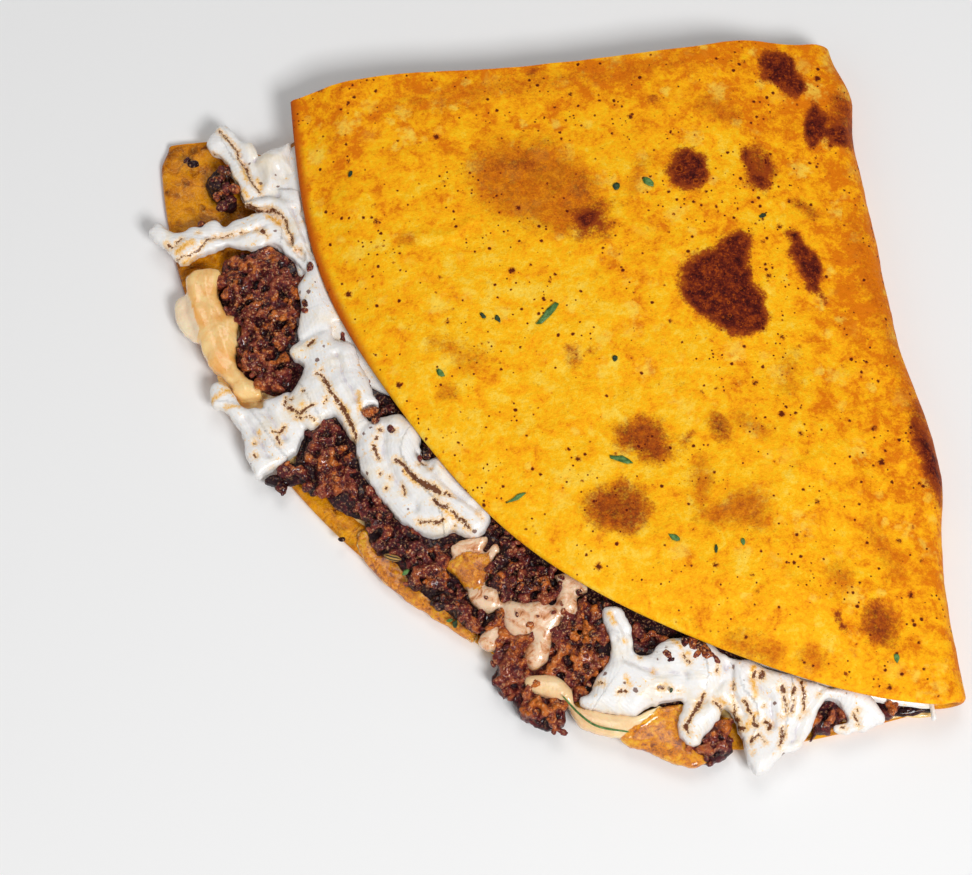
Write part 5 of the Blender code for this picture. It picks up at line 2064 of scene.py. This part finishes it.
@dataclass(frozen=True)
class CrumbTree:
    """Geometry Nodes tree that strews knobbly lumps over a surface where a value is stored on it."""

    name: str
    faces: int
    material: Material
    warp_scale: float = 420.0
    grain_middle: float = 0.45
    most_dense: float = 4.0e6

    def tree(self) -> NodeTree:
        """Build the tree: named inputs, strewn points, warped lumps with grains, one material.

        Returns:
            The node tree.
        """
        bench = TreeBench(self.name)
        given = bench.given
        more = bench.node("GeometryNodeObjectInfo", {"Object": given[Shape.MORE.value]}, "Geometry")
        ground = bench.node("GeometryNodeJoinGeometry", {}, 0)
        for part in (given["Ground"], more):
            bench.tree.links.new(part, ground.node.inputs[0])
        bare = bench.node("GeometryNodeInputNamedAttribute", {"Name": given[Shape.WHERE.value]}, "Attribute",
                          data_type="FLOAT")
        points = bench.node("GeometryNodeDistributePointsOnFaces", {
            "Density Max": self.most_dense, "Mesh": ground, "Distance Min": given[Shape.SPACING.value],
            "Density Factor": bare, "Seed": given[Shape.SEED.value]}, "Points", distribute_method="POISSON")
        lift = bench.scaled(points.node.outputs["Normal"], given[Shape.LIFT.value])
        points = bench.moved(points, lift)
        points = bench.node("GeometryNodeStoreNamedAttribute", {
            "Name": "tone", "Geometry": points, "Value": self.chance(bench, "FLOAT", 1, {})}, "Geometry",
            data_type="FLOAT", domain="POINT")
        ball = bench.node("GeometryNodeMeshIcoSphere", {"Radius": MM, "Subdivisions": self.faces}, "Mesh")
        sizes = {"Min": given[Shape.SMALLEST.value], "Max": given[Shape.LARGEST.value]}
        placed = bench.node("GeometryNodeInstanceOnPoints", {
            "Points": points, "Instance": ball,
            "Rotation": self.chance(bench, "FLOAT_VECTOR", 2, {"Max": (math.tau,) * 3}),
            "Scale": self.chance(bench, "FLOAT_VECTOR", 3, sizes)}, "Instances")
        real = bench.node("GeometryNodeRealizeInstances", {"Geometry": placed}, "Geometry")
        smooth = bench.node("GeometryNodeSetShadeSmooth", {"Geometry": self.knobbled(bench, real)},
                            "Geometry")
        dress = {"Geometry": smooth, "Material": self.material}
        dressed = bench.node("GeometryNodeSetMaterial", dress, "Geometry")
        bench.tree.links.new(dressed, bench.tree.nodes.new("NodeGroupOutput").inputs["Crumbs"])
        return bench.tree

    def chance(self, bench: TreeBench, kind: str, extra: int, limits: dict) -> Socket:
        """A random value for each point, from the tree's own seed.

        Args:
            bench: The tree's bench.
            kind: Type of the value.
            extra: Tells this value's draw from the others.
            limits: Its least and its most, where they aren't 0 and 1.

        Returns:
            The value.
        """
        seed = bench.node("ShaderNodeMath", {1: extra * 17.0, 0: bench.given[Shape.SEED.value]}, 0,
                          operation="ADD")
        value = bench.node("FunctionNodeRandomValue", {"Seed": seed, **limits}, 0, data_type=kind)
        return next(socket for socket in value.node.outputs if socket.enabled)

    def knobbled(self, bench: TreeBench, lumps: Socket) -> Socket:
        """Warp every lump, then push its skin out into small grains.

        Args:
            bench: The tree's bench.
            lumps: The lumps.

        Returns:
            The shaped lumps.
        """
        warp = bench.node("ShaderNodeTexNoise", {"Scale": self.warp_scale}, 1)
        middle = {1: (0.5, 0.5, 0.5), 0: warp}
        centred = bench.node("ShaderNodeVectorMath", middle, 0, operation="SUBTRACT")
        lumps = bench.moved(lumps, bench.scaled(centred, bench.given[Shape.WARP.value]))
        grains = bench.node("ShaderNodeTexVoronoi", {"Scale": bench.given[Shape.GRAIN_SCALE.value]},
                            "Distance")
        rise = bench.node("ShaderNodeMath", {0: self.grain_middle, 1: grains}, 0, operation="SUBTRACT")
        amount = bench.node("ShaderNodeMath", {0: rise, 1: bench.given[Shape.GRAIN.value]}, 0,
                            operation="MULTIPLY")
        normal = bench.node("GeometryNodeInputNormal", {}, 0)
        return bench.moved(lumps, bench.scaled(normal, amount))

    def strew(self, name: str, ground: Piece, values: dict[Shape, object]) -> Piece:
        """Strew lumps over a surface.

        Args:
            name: Name of the new piece.
            ground: The surface.
            values: The tree's inputs; lengths are in millimetres.

        Returns:
            The lumps as one plain piece.
        """
        helper = add_piece(name + "_ground", ground.data, self.material)
        modifier = helper.modifiers.new("crumbs", "NODES")
        modifier.node_group = self.tree()
        for item in modifier.node_group.interface.items_tree:
            for shape, value in values.items():
                if item.name == shape.value:
                    modifier[item.identifier] = value * MM if shape in LENGTHS else value
        mesh = plain_mesh(helper)
        remove_piece(helper)
        return add_piece(name, mesh, self.material)


BEEF_SHOWS = (
    places(27, 121.5, 26, 118, 26, 114, 26.5, 110.5, 29, 109, 31.5, 107, 34.5, 107.5, 39.5, 107.5, 42.5,
        108, 45.5, 109, 48.5, 109.5, 51.5, 110.5, 53, 109.5, 55, 111, 56, 113.5, 55.5, 116, 54, 118.5, 51,
        121, 46.5, 122, 45, 121.5, 45, 119.5, 40.5, 119.5, 39.5, 122, 37, 123.5, 33, 123),
    places(72, 119, 70, 113.5, 67.5, 111, 64.5, 110, 62.5, 104.5, 65.5, 103, 69, 101.5, 75, 100.5, 78.5,
        99, 84.5, 95.5, 88.5, 90.5, 90.5, 83.5, 89.5, 79, 85.5, 78, 90, 75, 96.5, 70.5, 103, 65, 106.5, 60,
        109.5, 62, 113, 62, 116, 61.5, 119, 64.5, 121.5, 66.5, 123.5, 70, 126, 71, 127, 73.5, 125, 77.5,
        122, 79.5, 119.5, 79.5, 119, 82, 116, 83, 112.5, 81.5, 108.5, 83, 104.5, 87, 101, 90.5, 96.5, 94.5,
        91.8, 97, 88.5, 100.5, 84, 101.5, 79.5, 102, 77, 107, 74, 112.5, 74, 117),
    places(107, 58.5, 109, 55.5, 111, 53, 113.5, 51, 115, 52, 115.5, 53.5, 116.5, 55.5, 116, 56.5, 114, 57,
        112, 56.5, 109.5, 57.5),
    places(133.5, 50, 131.5, 48.5, 130, 47, 129.5, 45, 128, 44, 129.5, 43, 131.5, 42.5, 133.5, 42, 135.5,
        42.5, 136.5, 44.5, 137, 47, 136, 49),
    places(129.5, 26, 129.5, 23, 131.5, 21.5, 133, 22.5, 133.5, 24, 135, 24.5, 134.5, 26.5, 136, 29, 132.5,
        27.5),
    places(128, 17, 129.5, 13, 131.5, 7.5, 133, 8, 132, 11.5, 133.5, 13.5, 133, 15.5, 131, 16),
    places(45.5, 101.5, 48, 100, 52.5, 98.5, 56.5, 96.5, 61, 95, 65, 92.5, 64, 95, 59.5, 97, 55, 98, 50.5,
        100, 48, 102.5),
    places(69.5, 89, 69.5, 86.5, 74, 86, 75.5, 88, 73, 89.5),
    places(9.5, 123, 8, 121.5, 7.3, 120, 8.5, 118.5, 11, 118, 14, 117.5, 16, 117.2, 17, 119, 16, 120.5, 14,
        122, 12, 123),
    places(127.7, 53.5, 126.6, 52.3, 126.5, 50.3, 127.7, 50, 129, 51, 129.3, 52.6, 128.8, 53.6),
)

BEEF_BITS = (
    (13, 119, -0.2, 1), (13.5, 117.5, 0, 1.1), (15.5, 118.5, -0.2, 0.9), (16.5, 120, -0.3, 1.2),
    (14.5, 121, -0.5, 0.8), (20, 124.5, -0.5, 0.9), (6, 125, -1.8, 0.9), (5, 126, -1.8, 0.6),
    (33, 105.2, 1, 0.8), (40.5, 107, 1.1, 0.7), (42, 107.2, 1.1, 0.6), (64.5, 97.8, 1.6, 1.2),
    (66, 97, 1.6, 0.9), (68.5, 94.5, 1.7, 0.7), (71, 87.5, 1.7, 1.2), (73, 87, 1.6, 1.1),
    (74.5, 88.5, 1.5, 0.8), (75, 90, 1.5, 0.5), (118, 51.5, 1.4, 0.9), (119, 51, 1.4, 0.7),
    (98, 76.5, 0.6, 0.7), (99, 75, 0.6, 0.6), (100, 76.5, 0.7, 0.7), (100.5, 74, 0.6, 0.6),
    (101.5, 75.5, 0.7, 0.6), (101, 72.5, 0.6, 0.7), (102, 77.5, 0.6, 0.5), (99.5, 73, 0.5, 0.5),
    (118.5, 65.5, 0.8, 0.6), (119.5, 67, 0.8, 0.6), (120.5, 66, 0.8, 0.5), (117.5, 64, 0.8, 0.6),
    (116, 63, 0.7, 0.6), (112, 64, 0.6, 0.7), (114.5, 66, 0.6, 0.6), (109, 68.5, 0.7, 0.6),
    (86, 106, -2.6, 0.5), (52.5, 118.5, 0.2, 0.5), (116.8, 46.8, 1.3, 1.1), (117.9, 45.4, 1.3, 1.3),
    (119.2, 44.6, 1.2, 1), (118.8, 46.4, 1.3, 0.8), (116.2, 48.2, 1.2, 0.8), (120.2, 43.4, 1.1, 0.7),
)


@dataclass(frozen=True)
class GroundBeef:
    """Ground beef: a core with lumps, crumbs and grains strewn over it where it shows."""

    plan: WedgePlan
    finish: BeefFinish
    white_share: float = 0.24
    lumps: tuple[Place, ...] = ((7.0, 1.4), (3.2, 0.8), (1.4, 0.3))
    crest_depth: float = 3.6
    least_crest: float = 0.45
    cut_crest: float = 0.55
    core_tone: float = 0.1
    sunk: float = 2.8
    pressed: tuple[Place, ...] = ((1.3, 0.24), (0.8, 0.16))
    core_wall: Place = (4, 0.7)
    bit_shape: tuple[float, float, float] = (1.25, 0.85, 1.0)

    def heights(self, grid: Fields) -> tuple[Array, Array]:
        """Underside and top of the core.

        Args:
            grid: The lattice.

        Returns:
            Both heights over the lattice.
        """
        along, across = grid["along"], grid["across"]
        height = self.plan.ceiling(along, across) - grid["floor"]
        bottom = grid["floor"] + 0.12 * height
        level = grid["floor"] + (1.0 - self.white_share) * height - 0.6
        relief = sum(depth * plan_bumps(along, across, size, 12.0) for size, depth in self.lumps)
        top = level + relief * self.bareness(along, across) - 1.3 * (1.0 - smooth_step(grid["inside"] / 4.0))
        return bottom, np.maximum(top, bottom + 0.4)

    def bareness(self, along: Array, across: Array) -> Array:
        """1 at plan points where the beef shows."""
        bare = np.any([inside_outline(along, across, outline) for outline in BEEF_SHOWS], axis=0)
        covered = [inside_outline(along, across, patch.outline) for patch in MELTED_SHEETS[1:]]
        return 1.0 * (bare & ~np.any(covered, axis=0))

    def build(self, tongues: Piece) -> list[Piece]:
        """Make the core and everything strewn over it and over the melted tongues.

        Args:
            tongues: The melted cheese that loose crumbs also fall on.

        Returns:
            The pieces, the core first.
        """
        material = self.finish.material()
        lattice = LayerLattice(self.plan, BEEF_REACH, spokes=240, hidden_rings=52, shown_rings=34, tucked=4.0)
        grid = lattice.grid()
        sliced = np.zeros_like(grid["along"])
        sliced[-1, :] = 1.0
        extra = {"bare": self.bareness(grid["along"], grid["across"]), "sliced": sliced}
        core = slab_piece(self.plan, "beef_core", grid, self.heights(grid), material, *self.core_wall, extra)
        self.keep_cut(core)
        set_attribute(core.data, "tone", np.full(len(core.data.vertices), self.core_tone))
        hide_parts("ground_beef")
        heap = self.heap(material)
        crumbs = CrumbTree("beef crumb nodes", 2, material).strew("beef_crumbs", heap, {
            Shape.SPACING: 1.9, Shape.SMALLEST: 0.25, Shape.LARGEST: 0.75, Shape.WARP: 1.3, Shape.SEED: 9,
            Shape.GRAIN: 0.3, Shape.GRAIN_SCALE: 1100.0, Shape.LIFT: 0.15, Shape.WHERE: "bare",
            Shape.MORE: tongues})
        slices = CrumbTree("sliced beef nodes", 3, material).strew("beef_slices", core, {
            Shape.SPACING: 1.5, Shape.SMALLEST: 0.6, Shape.LARGEST: 1.3, Shape.WARP: 1.6, Shape.SEED: 6,
            Shape.GRAIN: 0.6, Shape.GRAIN_SCALE: 900.0, Shape.LIFT: -0.35, Shape.WHERE: "sliced"})
        pieces = [core, heap, crumbs, slices, self.bits(material)]
        for piece in pieces:
            along, across, height = self.plan.to_plan(points_of(piece.data))
            # crest: how high each point stands below the filling's top; the finish paints shade on the low
            # parts and keeps glints and dust to the high ones.
            crest = (height - self.plan.ceiling(along, across)) / self.crest_depth + 1.0
            crest = np.maximum(crest, self.least_crest if piece is core else crest)
            on_cut = smooth_step(2.0 - along)
            crest = crest * (1.0 - on_cut) + self.cut_crest * on_cut
            set_attribute(piece.data, "crest", np.clip(crest, 0.0, 1.2))
        return pieces

    def bed(self, mould: CheeseMould) -> Mesh:
        """The mould's sheets, with how bare they are stored on their points.

        Args:
            mould: Holds the sheets that the lumps lie on.

        Returns:
            The mesh.
        """
        along, across, height = np.concatenate(mould.points).T
        bare = 1.0 * (height > self.plan.ceiling(along, across) - self.sunk - 1.6)
        for patch in MELTED_SHEETS[1:-2]:
            bare = bare * (1.0 - 0.75 * inside_outline(along, across, patch.outline))
        depth = np.zeros(len(along))
        for outline in BEEF_SHOWS:
            gap = path_distance(along, across, outline + outline[:1])
            depth = np.maximum(depth, gap * inside_outline(along, across, outline))
        return mould.gathered({"bare": bare * np.clip(depth / 0.6 - 0.5, 0.0, 1.0)})

    def heap(self, material: Material) -> Piece:
        """Lumps and grains pressed together into one crumbly mass over the core.

        Args:
            material: The beef's finish.

        Returns:
            The piece.
        """
        mould = CheeseMould(self.plan, "beef_heap", 0.34, 0)
        for outline in BEEF_SHOWS:
            mould.add(*CheeseSheet(outline, -self.sunk, 2.0, 1.2).body(self.plan))
        bed = add_piece("beef_bed", self.bed(mould), material)
        lumps = CrumbTree("beef lump nodes", 3, material).strew("loose_lumps", bed, {
            Shape.SPACING: 2.2, Shape.SMALLEST: 0.8, Shape.LARGEST: 1.9, Shape.WARP: 2.8, Shape.SEED: 4,
            Shape.GRAIN: 0.9, Shape.GRAIN_SCALE: 1000.0, Shape.LIFT: 0.8, Shape.WHERE: "bare"})
        set_attribute(lumps.data, "bare", np.full(len(lumps.data.vertices), 0.5))
        grains = CrumbTree("beef grain nodes", 2, material).strew("loose_grains", bed, {
            Shape.SPACING: 1.4, Shape.SMALLEST: 0.35, Shape.LARGEST: 0.8, Shape.WARP: 1.3, Shape.SEED: 2,
            Shape.GRAIN: 0.3, Shape.GRAIN_SCALE: 1100.0, Shape.LIFT: 0.2, Shape.WHERE: "bare",
            Shape.MORE: lumps})
        remove_piece(bed)
        for loose in (lumps, grains):
            points = np.stack(self.plan.to_plan(points_of(loose.data)), axis=-1)
            mould.add(points, [tuple(polygon.vertices) for polygon in loose.data.polygons])
            remove_piece(loose)
        mesh = mould.melt(self.pressed)
        # Stored as hollow, these depths darken the crevices as painted shade.
        dents = hollows(mesh) / 0.10 + 0.6 * hollows(mesh, 9) / 0.05
        along, across, height = self.plan.to_plan(points_of(mesh))
        rusty = 0.25 + 0.75 * smooth_step((along - 98.0) / 16.0) + 0.35 * (across > 104.0) * (along > 24.0)
        rusty = rusty + 0.8 * plan_bumps(along, across, 8.0, 2.0) - 1.0 * (along < 20.0)
        set_attribute(mesh, "hollow", np.clip(dents, -0.8, 1.8))
        set_attribute(mesh, "tone", np.clip(rusty, -0.5, 1.2))
        set_attribute(mesh, "bare", 0.6 * (height > self.plan.ceiling(along, across) - 2.2))
        return add_piece("beef_heap", mesh, material)

    def bits(self, material: Material) -> Piece:
        """Single crumbs that lie on the cheese and on the stained tortilla.

        Args:
            material: The beef's finish.

        Returns:
            The piece.
        """
        ball = bmesh.new()
        bmesh.ops.create_icosphere(ball, subdivisions=3, radius=1.0)
        unit = np.array([vertex.co for vertex in ball.verts])
        unit_faces = [[vertex.index for vertex in face.verts] for face in ball.faces]
        ball.free()
        mould = CheeseMould(self.plan, "beef_bits")
        tones = []
        for number, (along, across, rise, radius) in enumerate(BEEF_BITS):
            top = float(self.plan.ceiling(np.array(along), np.array(across))) + rise
            shaped = unit * (1.0 + 0.35 * bumps(unit + number * 3.0, 0.9)[:, None])
            shaped = shaped + 0.12 * unit * bumps(unit + number * 5.0, 0.35)[:, None]
            cosine, sine = math.cos(number * 2.4), math.sin(number * 2.4)
            spin = np.array([[cosine, -sine, 0.0], [sine, cosine, 0.0], [0.0, 0.0, 0.7]])
            middle = (along, across, top - radius * 0.45)
            mould.add(shaped * self.bit_shape @ spin.T * radius + middle, unit_faces)
            tones.append(np.full(len(unit), 0.5 + 0.5 * math.sin(number * 1.9)))
        return add_piece("beef_bits", mould.gathered({"tone": np.concatenate(tones)}), material)

    def keep_cut(self, core: Piece) -> None:
        """Let only the wall on the cut be strewn with sliced beef.

        Args:
            core: The beef's core, where the sliced rows are stored.
        """
        along, _, height = self.plan.to_plan(points_of(core.data))
        values = np.empty(len(along), dtype=np.float32)
        core.data.attributes["sliced"].data.foreach_get("value", values)
        near = (along < self.plan.filling_start[0] + 1.2) & (height > 2.6)
        set_attribute(core.data, "sliced", values * near)


@dataclass(frozen=True)
class HerbFlake:
    """One fleck of chopped herb: where it lies, its size and the way it points."""

    along: float
    across: float
    length: float
    width: float
    heading: float
    dark: bool = False
    sunk: float | None = None


HERB_FLAKES = tuple(HerbFlake(*row) for row in (
    (51.2, 62.9, 5.6, 1.5, 52),
    (49.9, 74.8, 1.5, 0.8, -30, True),
    (50.9, 72.2, 1.6, 0.9, -25, True),
    (60.1, 84.1, 2, 1.1, -50),
    (27.1, 46.3, 1.7, 1.5, 10, True),
    (26.9, 40.1, 2.4, 1.3, -40),
    (36.2, 19.8, 1.6, 0.8, 80, True),
    (81.5, 54, 4.6, 1.2, -65),
    (85.9, 73.8, 3.8, 0.8, 70),
    (97.8, 47.1, 2.6, 1, -55),
    (100.9, 40.2, 1.7, 0.6, 10, True),
    (100.3, 35.2, 1.3, 0.7, 0),
    (61.9, 52.1, 1.3, 0.9, 20, True),
    (124.6, 11.7, 1.6, 1, 0),
    (17, 95.4, 1.4, 0.8, 30, True),
    (105, 87.8, 1.8, 1, 20, True, 2.9),
    (104.2, 88.6, 1.2, 0.7, 80, False, 2.9),
    (94.6, 95.4, 1.7, 1, 60, False, 1.4),
    (124.5, 52, 0.9, 0.6, 30, True, -1.6),
))


@dataclass(frozen=True)
class Herbs:
    """Chopped herb flecks on the flap, and one stem on the crescent."""

    plan: WedgePlan
    fresh: LeafFinish
    dark: LeafFinish
    thickness: float = 0.16
    curl: float = 0.28
    outline: Path = ((-0.5, -0.12), (-0.38, 0.3), (-0.08, 0.5), (0.2, 0.38), (0.5, 0.08), (0.34, -0.34),
                     (0.0, -0.5), (-0.3, -0.4))
    stem: tuple[tuple[float, float, float], ...] = ((122.0, 71.0, 7.4), (125.5, 68.5, 6.6),
                                                    (128.2, 65.5, 6.2), (129.9, 60.1, 5.8))
    stem_radius: float = 0.2

    def flake(self, mark: HerbFlake, number: int) -> Body:
        """One fleck as a curled plate of plan points and faces.

        Args:
            mark: The fleck.
            number: Its number, which varies its shape.

        Returns:
            Plan points and faces.
        """
        rim = np.array(self.outline)
        rim = rim * (1.0 + 0.22 * np.sin(np.arange(len(rim)) * (1.7 + number))[:, None])
        inner = (mark.length * 0.45, mark.width * 0.45)
        local = np.concatenate([rim * (mark.length, mark.width), rim * inner, [[0.0, 0.0]]])
        turn = math.radians(mark.heading)
        along = mark.along + local[:, 0] * math.cos(turn) - local[:, 1] * math.sin(turn)
        across = mark.across + local[:, 0] * math.sin(turn) + local[:, 1] * math.cos(turn)
        lift = self.curl * ((local[:, 0] / mark.length) ** 2 + (local[:, 1] / mark.width) ** 2) * 2.0
        ground = self.plan.flap_top(along, across)
        if mark.sunk is not None:
            ground = self.plan.ceiling(along, across) - mark.sunk
        base = ground + 0.12 + lift
        low = np.stack([along, across, base], axis=-1)
        points = np.concatenate([low, low + (0.0, 0.0, self.thickness)])
        size, layer = len(rim), len(low)
        faces = []
        for spot in range(size):
            ahead = (spot + 1) % size
            for base_index in (0, layer):
                faces.append((base_index + spot, base_index + ahead, base_index + size + ahead,
                              base_index + size + spot))
                faces.append((base_index + size + spot, base_index + size + ahead, base_index + 2 * size))
            faces.append((spot, ahead, layer + ahead, layer + spot))
        return points, faces

    def gathered(self, name: str, dark: bool, finish: LeafFinish, bodies: list) -> Piece:
        """Put the flecks of one colour, and other bodies, into one piece.

        Args:
            name: Name of the piece.
            dark: Which flecks.
            finish: Their finish.
            bodies: Other bodies to put in.

        Returns:
            The piece.
        """
        for number, mark in enumerate(HERB_FLAKES):
            if mark.dark is dark:
                bodies.append(self.flake(mark, number))
        mould = CheeseMould(self.plan, name)
        for points, faces in bodies:
            mould.add(points, faces)
        return add_piece(name, mould.gathered({}), finish.material())

    def build(self) -> list[Piece]:
        """Make the fresh and the dark flecks.

        Returns:
            Both pieces.
        """
        line = centre_line(np.array(self.stem), 0.5)
        stem = sweep(line, self.stem_radius, self.stem_radius, 0.7, 10)
        return [
            self.gathered("herb_flakes_fresh", False, self.fresh, [stem]),
            self.gathered("herb_flakes_dark", True, self.dark, []),
        ]


@dataclass(frozen=True)
class SeedFinish:
    """Cumin seed, straw brown between dark grooves."""

    husk: Colour = (0.46, 0.26, 0.06)
    groove: Colour = (0.025, 0.009, 0.003)

    def material(self) -> Material:
        """Build the material.

        Returns:
            The material.
        """
        bench = NodeBench("cumin seed")
        colour = bench.ramp(bench.attribute("ridge"), (0.35, self.groove), (0.62, self.husk))
        bench.fixed(specular_ior_level=0.4)
        return bench.finish(colour, 0.4, bench.bump(bench.noise(0.4, 3.0), 0.06))


@dataclass(frozen=True)
class CuminSeed:
    """One cumin seed that lies on the beef."""

    plan: WedgePlan
    finish: SeedFinish
    line: Path = ((91.2, 98.9), (92.0, 97.4), (92.6, 95.8))
    rise: float = 0.5
    half_width: float = 0.62
    ridges: int = 6
    sides: int = 36
    depth: float = 0.10

    def build(self) -> Piece:
        """Make the ridged seed.

        Returns:
            The piece.
        """
        knots = np.array([(along, across, 0.0) for along, across in self.line])
        knots[:, 2] = self.plan.ceiling(knots[:, 0], knots[:, 1]) + self.rise
        line = centre_line(knots, 0.12)
        points, faces = sweep(line, self.half_width, self.half_width * 0.8, 0.35, self.sides)
        turn = np.tile(np.linspace(0.0, math.tau, self.sides, endpoint=False), len(line))
        ridge = 0.5 + 0.5 * np.cos(self.ridges * turn)
        middle = np.repeat(line, self.sides, axis=0)
        points = middle + (points - middle) * (1.0 - self.depth * (1.0 - ridge))[:, None]
        mesh = build_mesh("cumin_seed", self.plan.to_frame(*points.T), faces, {"ridge": ridge})
        return add_piece("cumin_seed", mesh, self.finish.material())


@dataclass(frozen=True)
class Lamp:
    """A square soft lamp aimed at the wedge: where it hangs, its size in metres and its power in watts."""

    name: str
    azimuth: float
    elevation: float
    distance: float
    size: float
    power: float

    def build(self) -> None:
        """Hang the lamp."""
        data = bpy.data.lights.new(self.name, "AREA")
        data.size = self.size
        data.energy = self.power
        lamp = bpy.data.objects.new(self.name, data)
        bpy.context.collection.objects.link(lamp)
        back = seen_from(self.azimuth, self.elevation)
        lamp.location = back * self.distance
        lamp.rotation_euler = back.to_track_quat("Z", "Y").to_euler()


def seen_from(azimuth: float, elevation: float) -> Vector:
    """Direction from the wedge to a place at these angles, in degrees."""
    turn, tilt = math.radians(azimuth), math.radians(elevation)
    return Vector((math.sin(turn) * math.cos(tilt), -math.cos(turn) * math.cos(tilt), math.sin(tilt)))


@dataclass(frozen=True)
class Studio:
    """Pale floor, soft light and the camera."""

    plan: WedgePlan
    target: tuple[float, float, float] = (73.25, 77.6, 12.0)
    distance: float = 0.4909
    azimuth: float = -8.19
    elevation: float = 68.0
    lens: float = 100.0
    sensor: float = 36.0
    nearest: float = 0.01
    floor_size: float = 6.0
    floor_drop: float = 0.0002
    floor_colour: Colour = (0.88, 0.88, 0.88)
    sky: float = 0.24
    lamps: tuple[Lamp, ...] = (
        Lamp("key", 20.0, 50.0, 0.9, 0.24, 5.6),
        Lamp("fill", -70.0, 40.0, 1.1, 0.8, 1.1),
        Lamp("top", 170.0, 72.0, 1.1, 0.5, 2.0),
    )

    def camera(self) -> None:
        """Look down at the wedge from in front."""
        data = bpy.data.cameras.new("camera")
        data.lens = self.lens
        data.sensor_width = self.sensor
        data.clip_start = self.nearest
        camera = bpy.data.objects.new("camera", data)
        bpy.context.collection.objects.link(camera)
        back = seen_from(self.azimuth, self.elevation)
        target = Vector(self.plan.to_frame(*np.array(self.target)))
        camera.location = target + back * self.distance
        camera.rotation_euler = (-back).to_track_quat("-Z", "Y").to_euler()
        bpy.context.scene.camera = camera

    def floor(self) -> None:
        """Lay a plain pale floor."""
        half = self.floor_size / 2.0
        corners = [(-half, -half), (half, -half), (half, half), (-half, half)]
        mesh = bpy.data.meshes.new("studio_floor")
        mesh.from_pydata([(*corner, -self.floor_drop) for corner in corners], [], [(0, 1, 2, 3)])
        bench = NodeBench("studio floor")
        bench.fixed(specular_ior_level=0.1)
        skin = bench.bump(bench.noise(20.0), 0.01)
        floor = add_piece("studio_floor", mesh, bench.finish(self.floor_colour, 0.9, skin))

    def build(self) -> None:
        """Set up the floor, the lamps, the sky and the camera."""
        self.floor()
        for lamp in self.lamps:
            lamp.build()
        world = bpy.data.worlds.new("studio")
        world.use_nodes = True
        background = world.node_tree.nodes["Background"]
        background.inputs["Color"].default_value = (1.0, 1.0, 1.0, 1.0)
        background.inputs["Strength"].default_value = self.sky
        bpy.context.scene.world = world
        bpy.context.scene.view_settings.view_transform = "Standard"
        self.camera()


def report(pieces: Sequence[Piece]) -> None:
    """Ride pieces on the body and log their sizes.

    Args:
        pieces: The pieces.
    """
    for piece in pieces:
        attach(piece, BODY)
        triangles = sum(len(polygon.vertices) - 2 for polygon in piece.data.polygons)
        LOG.info("%s: %d triangles", piece.name, triangles)


def main() -> None:
    """Build every piece in order, and the studio round them."""
    logging.basicConfig(level=logging.INFO, format="%(message)s")
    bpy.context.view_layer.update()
    plan = WedgePlan.from_frame()
    Studio(plan).build()
    report([Tortilla(plan, TortillaFinish()).build()])
    melted = MeltedCheese(plan, MeltedCheeseFinish()).build()
    report(melted)
    report(GroundBeef(plan, BeefFinish()).build(melted[-1]))
    report(WhiteCheese(plan, WhiteCheeseFinish()).build())
    fresh = LeafFinish("fresh herb", (0.13, 0.27, 0.07), (0.035, 0.11, 0.012))
    dark = LeafFinish("dark herb", (0.03, 0.07, 0.015), (0.012, 0.022, 0.01))
    report(Herbs(plan, fresh, dark).build())
    report([CuminSeed(plan, SeedFinish()).build()])


if __name__ == "__main__":
    main()
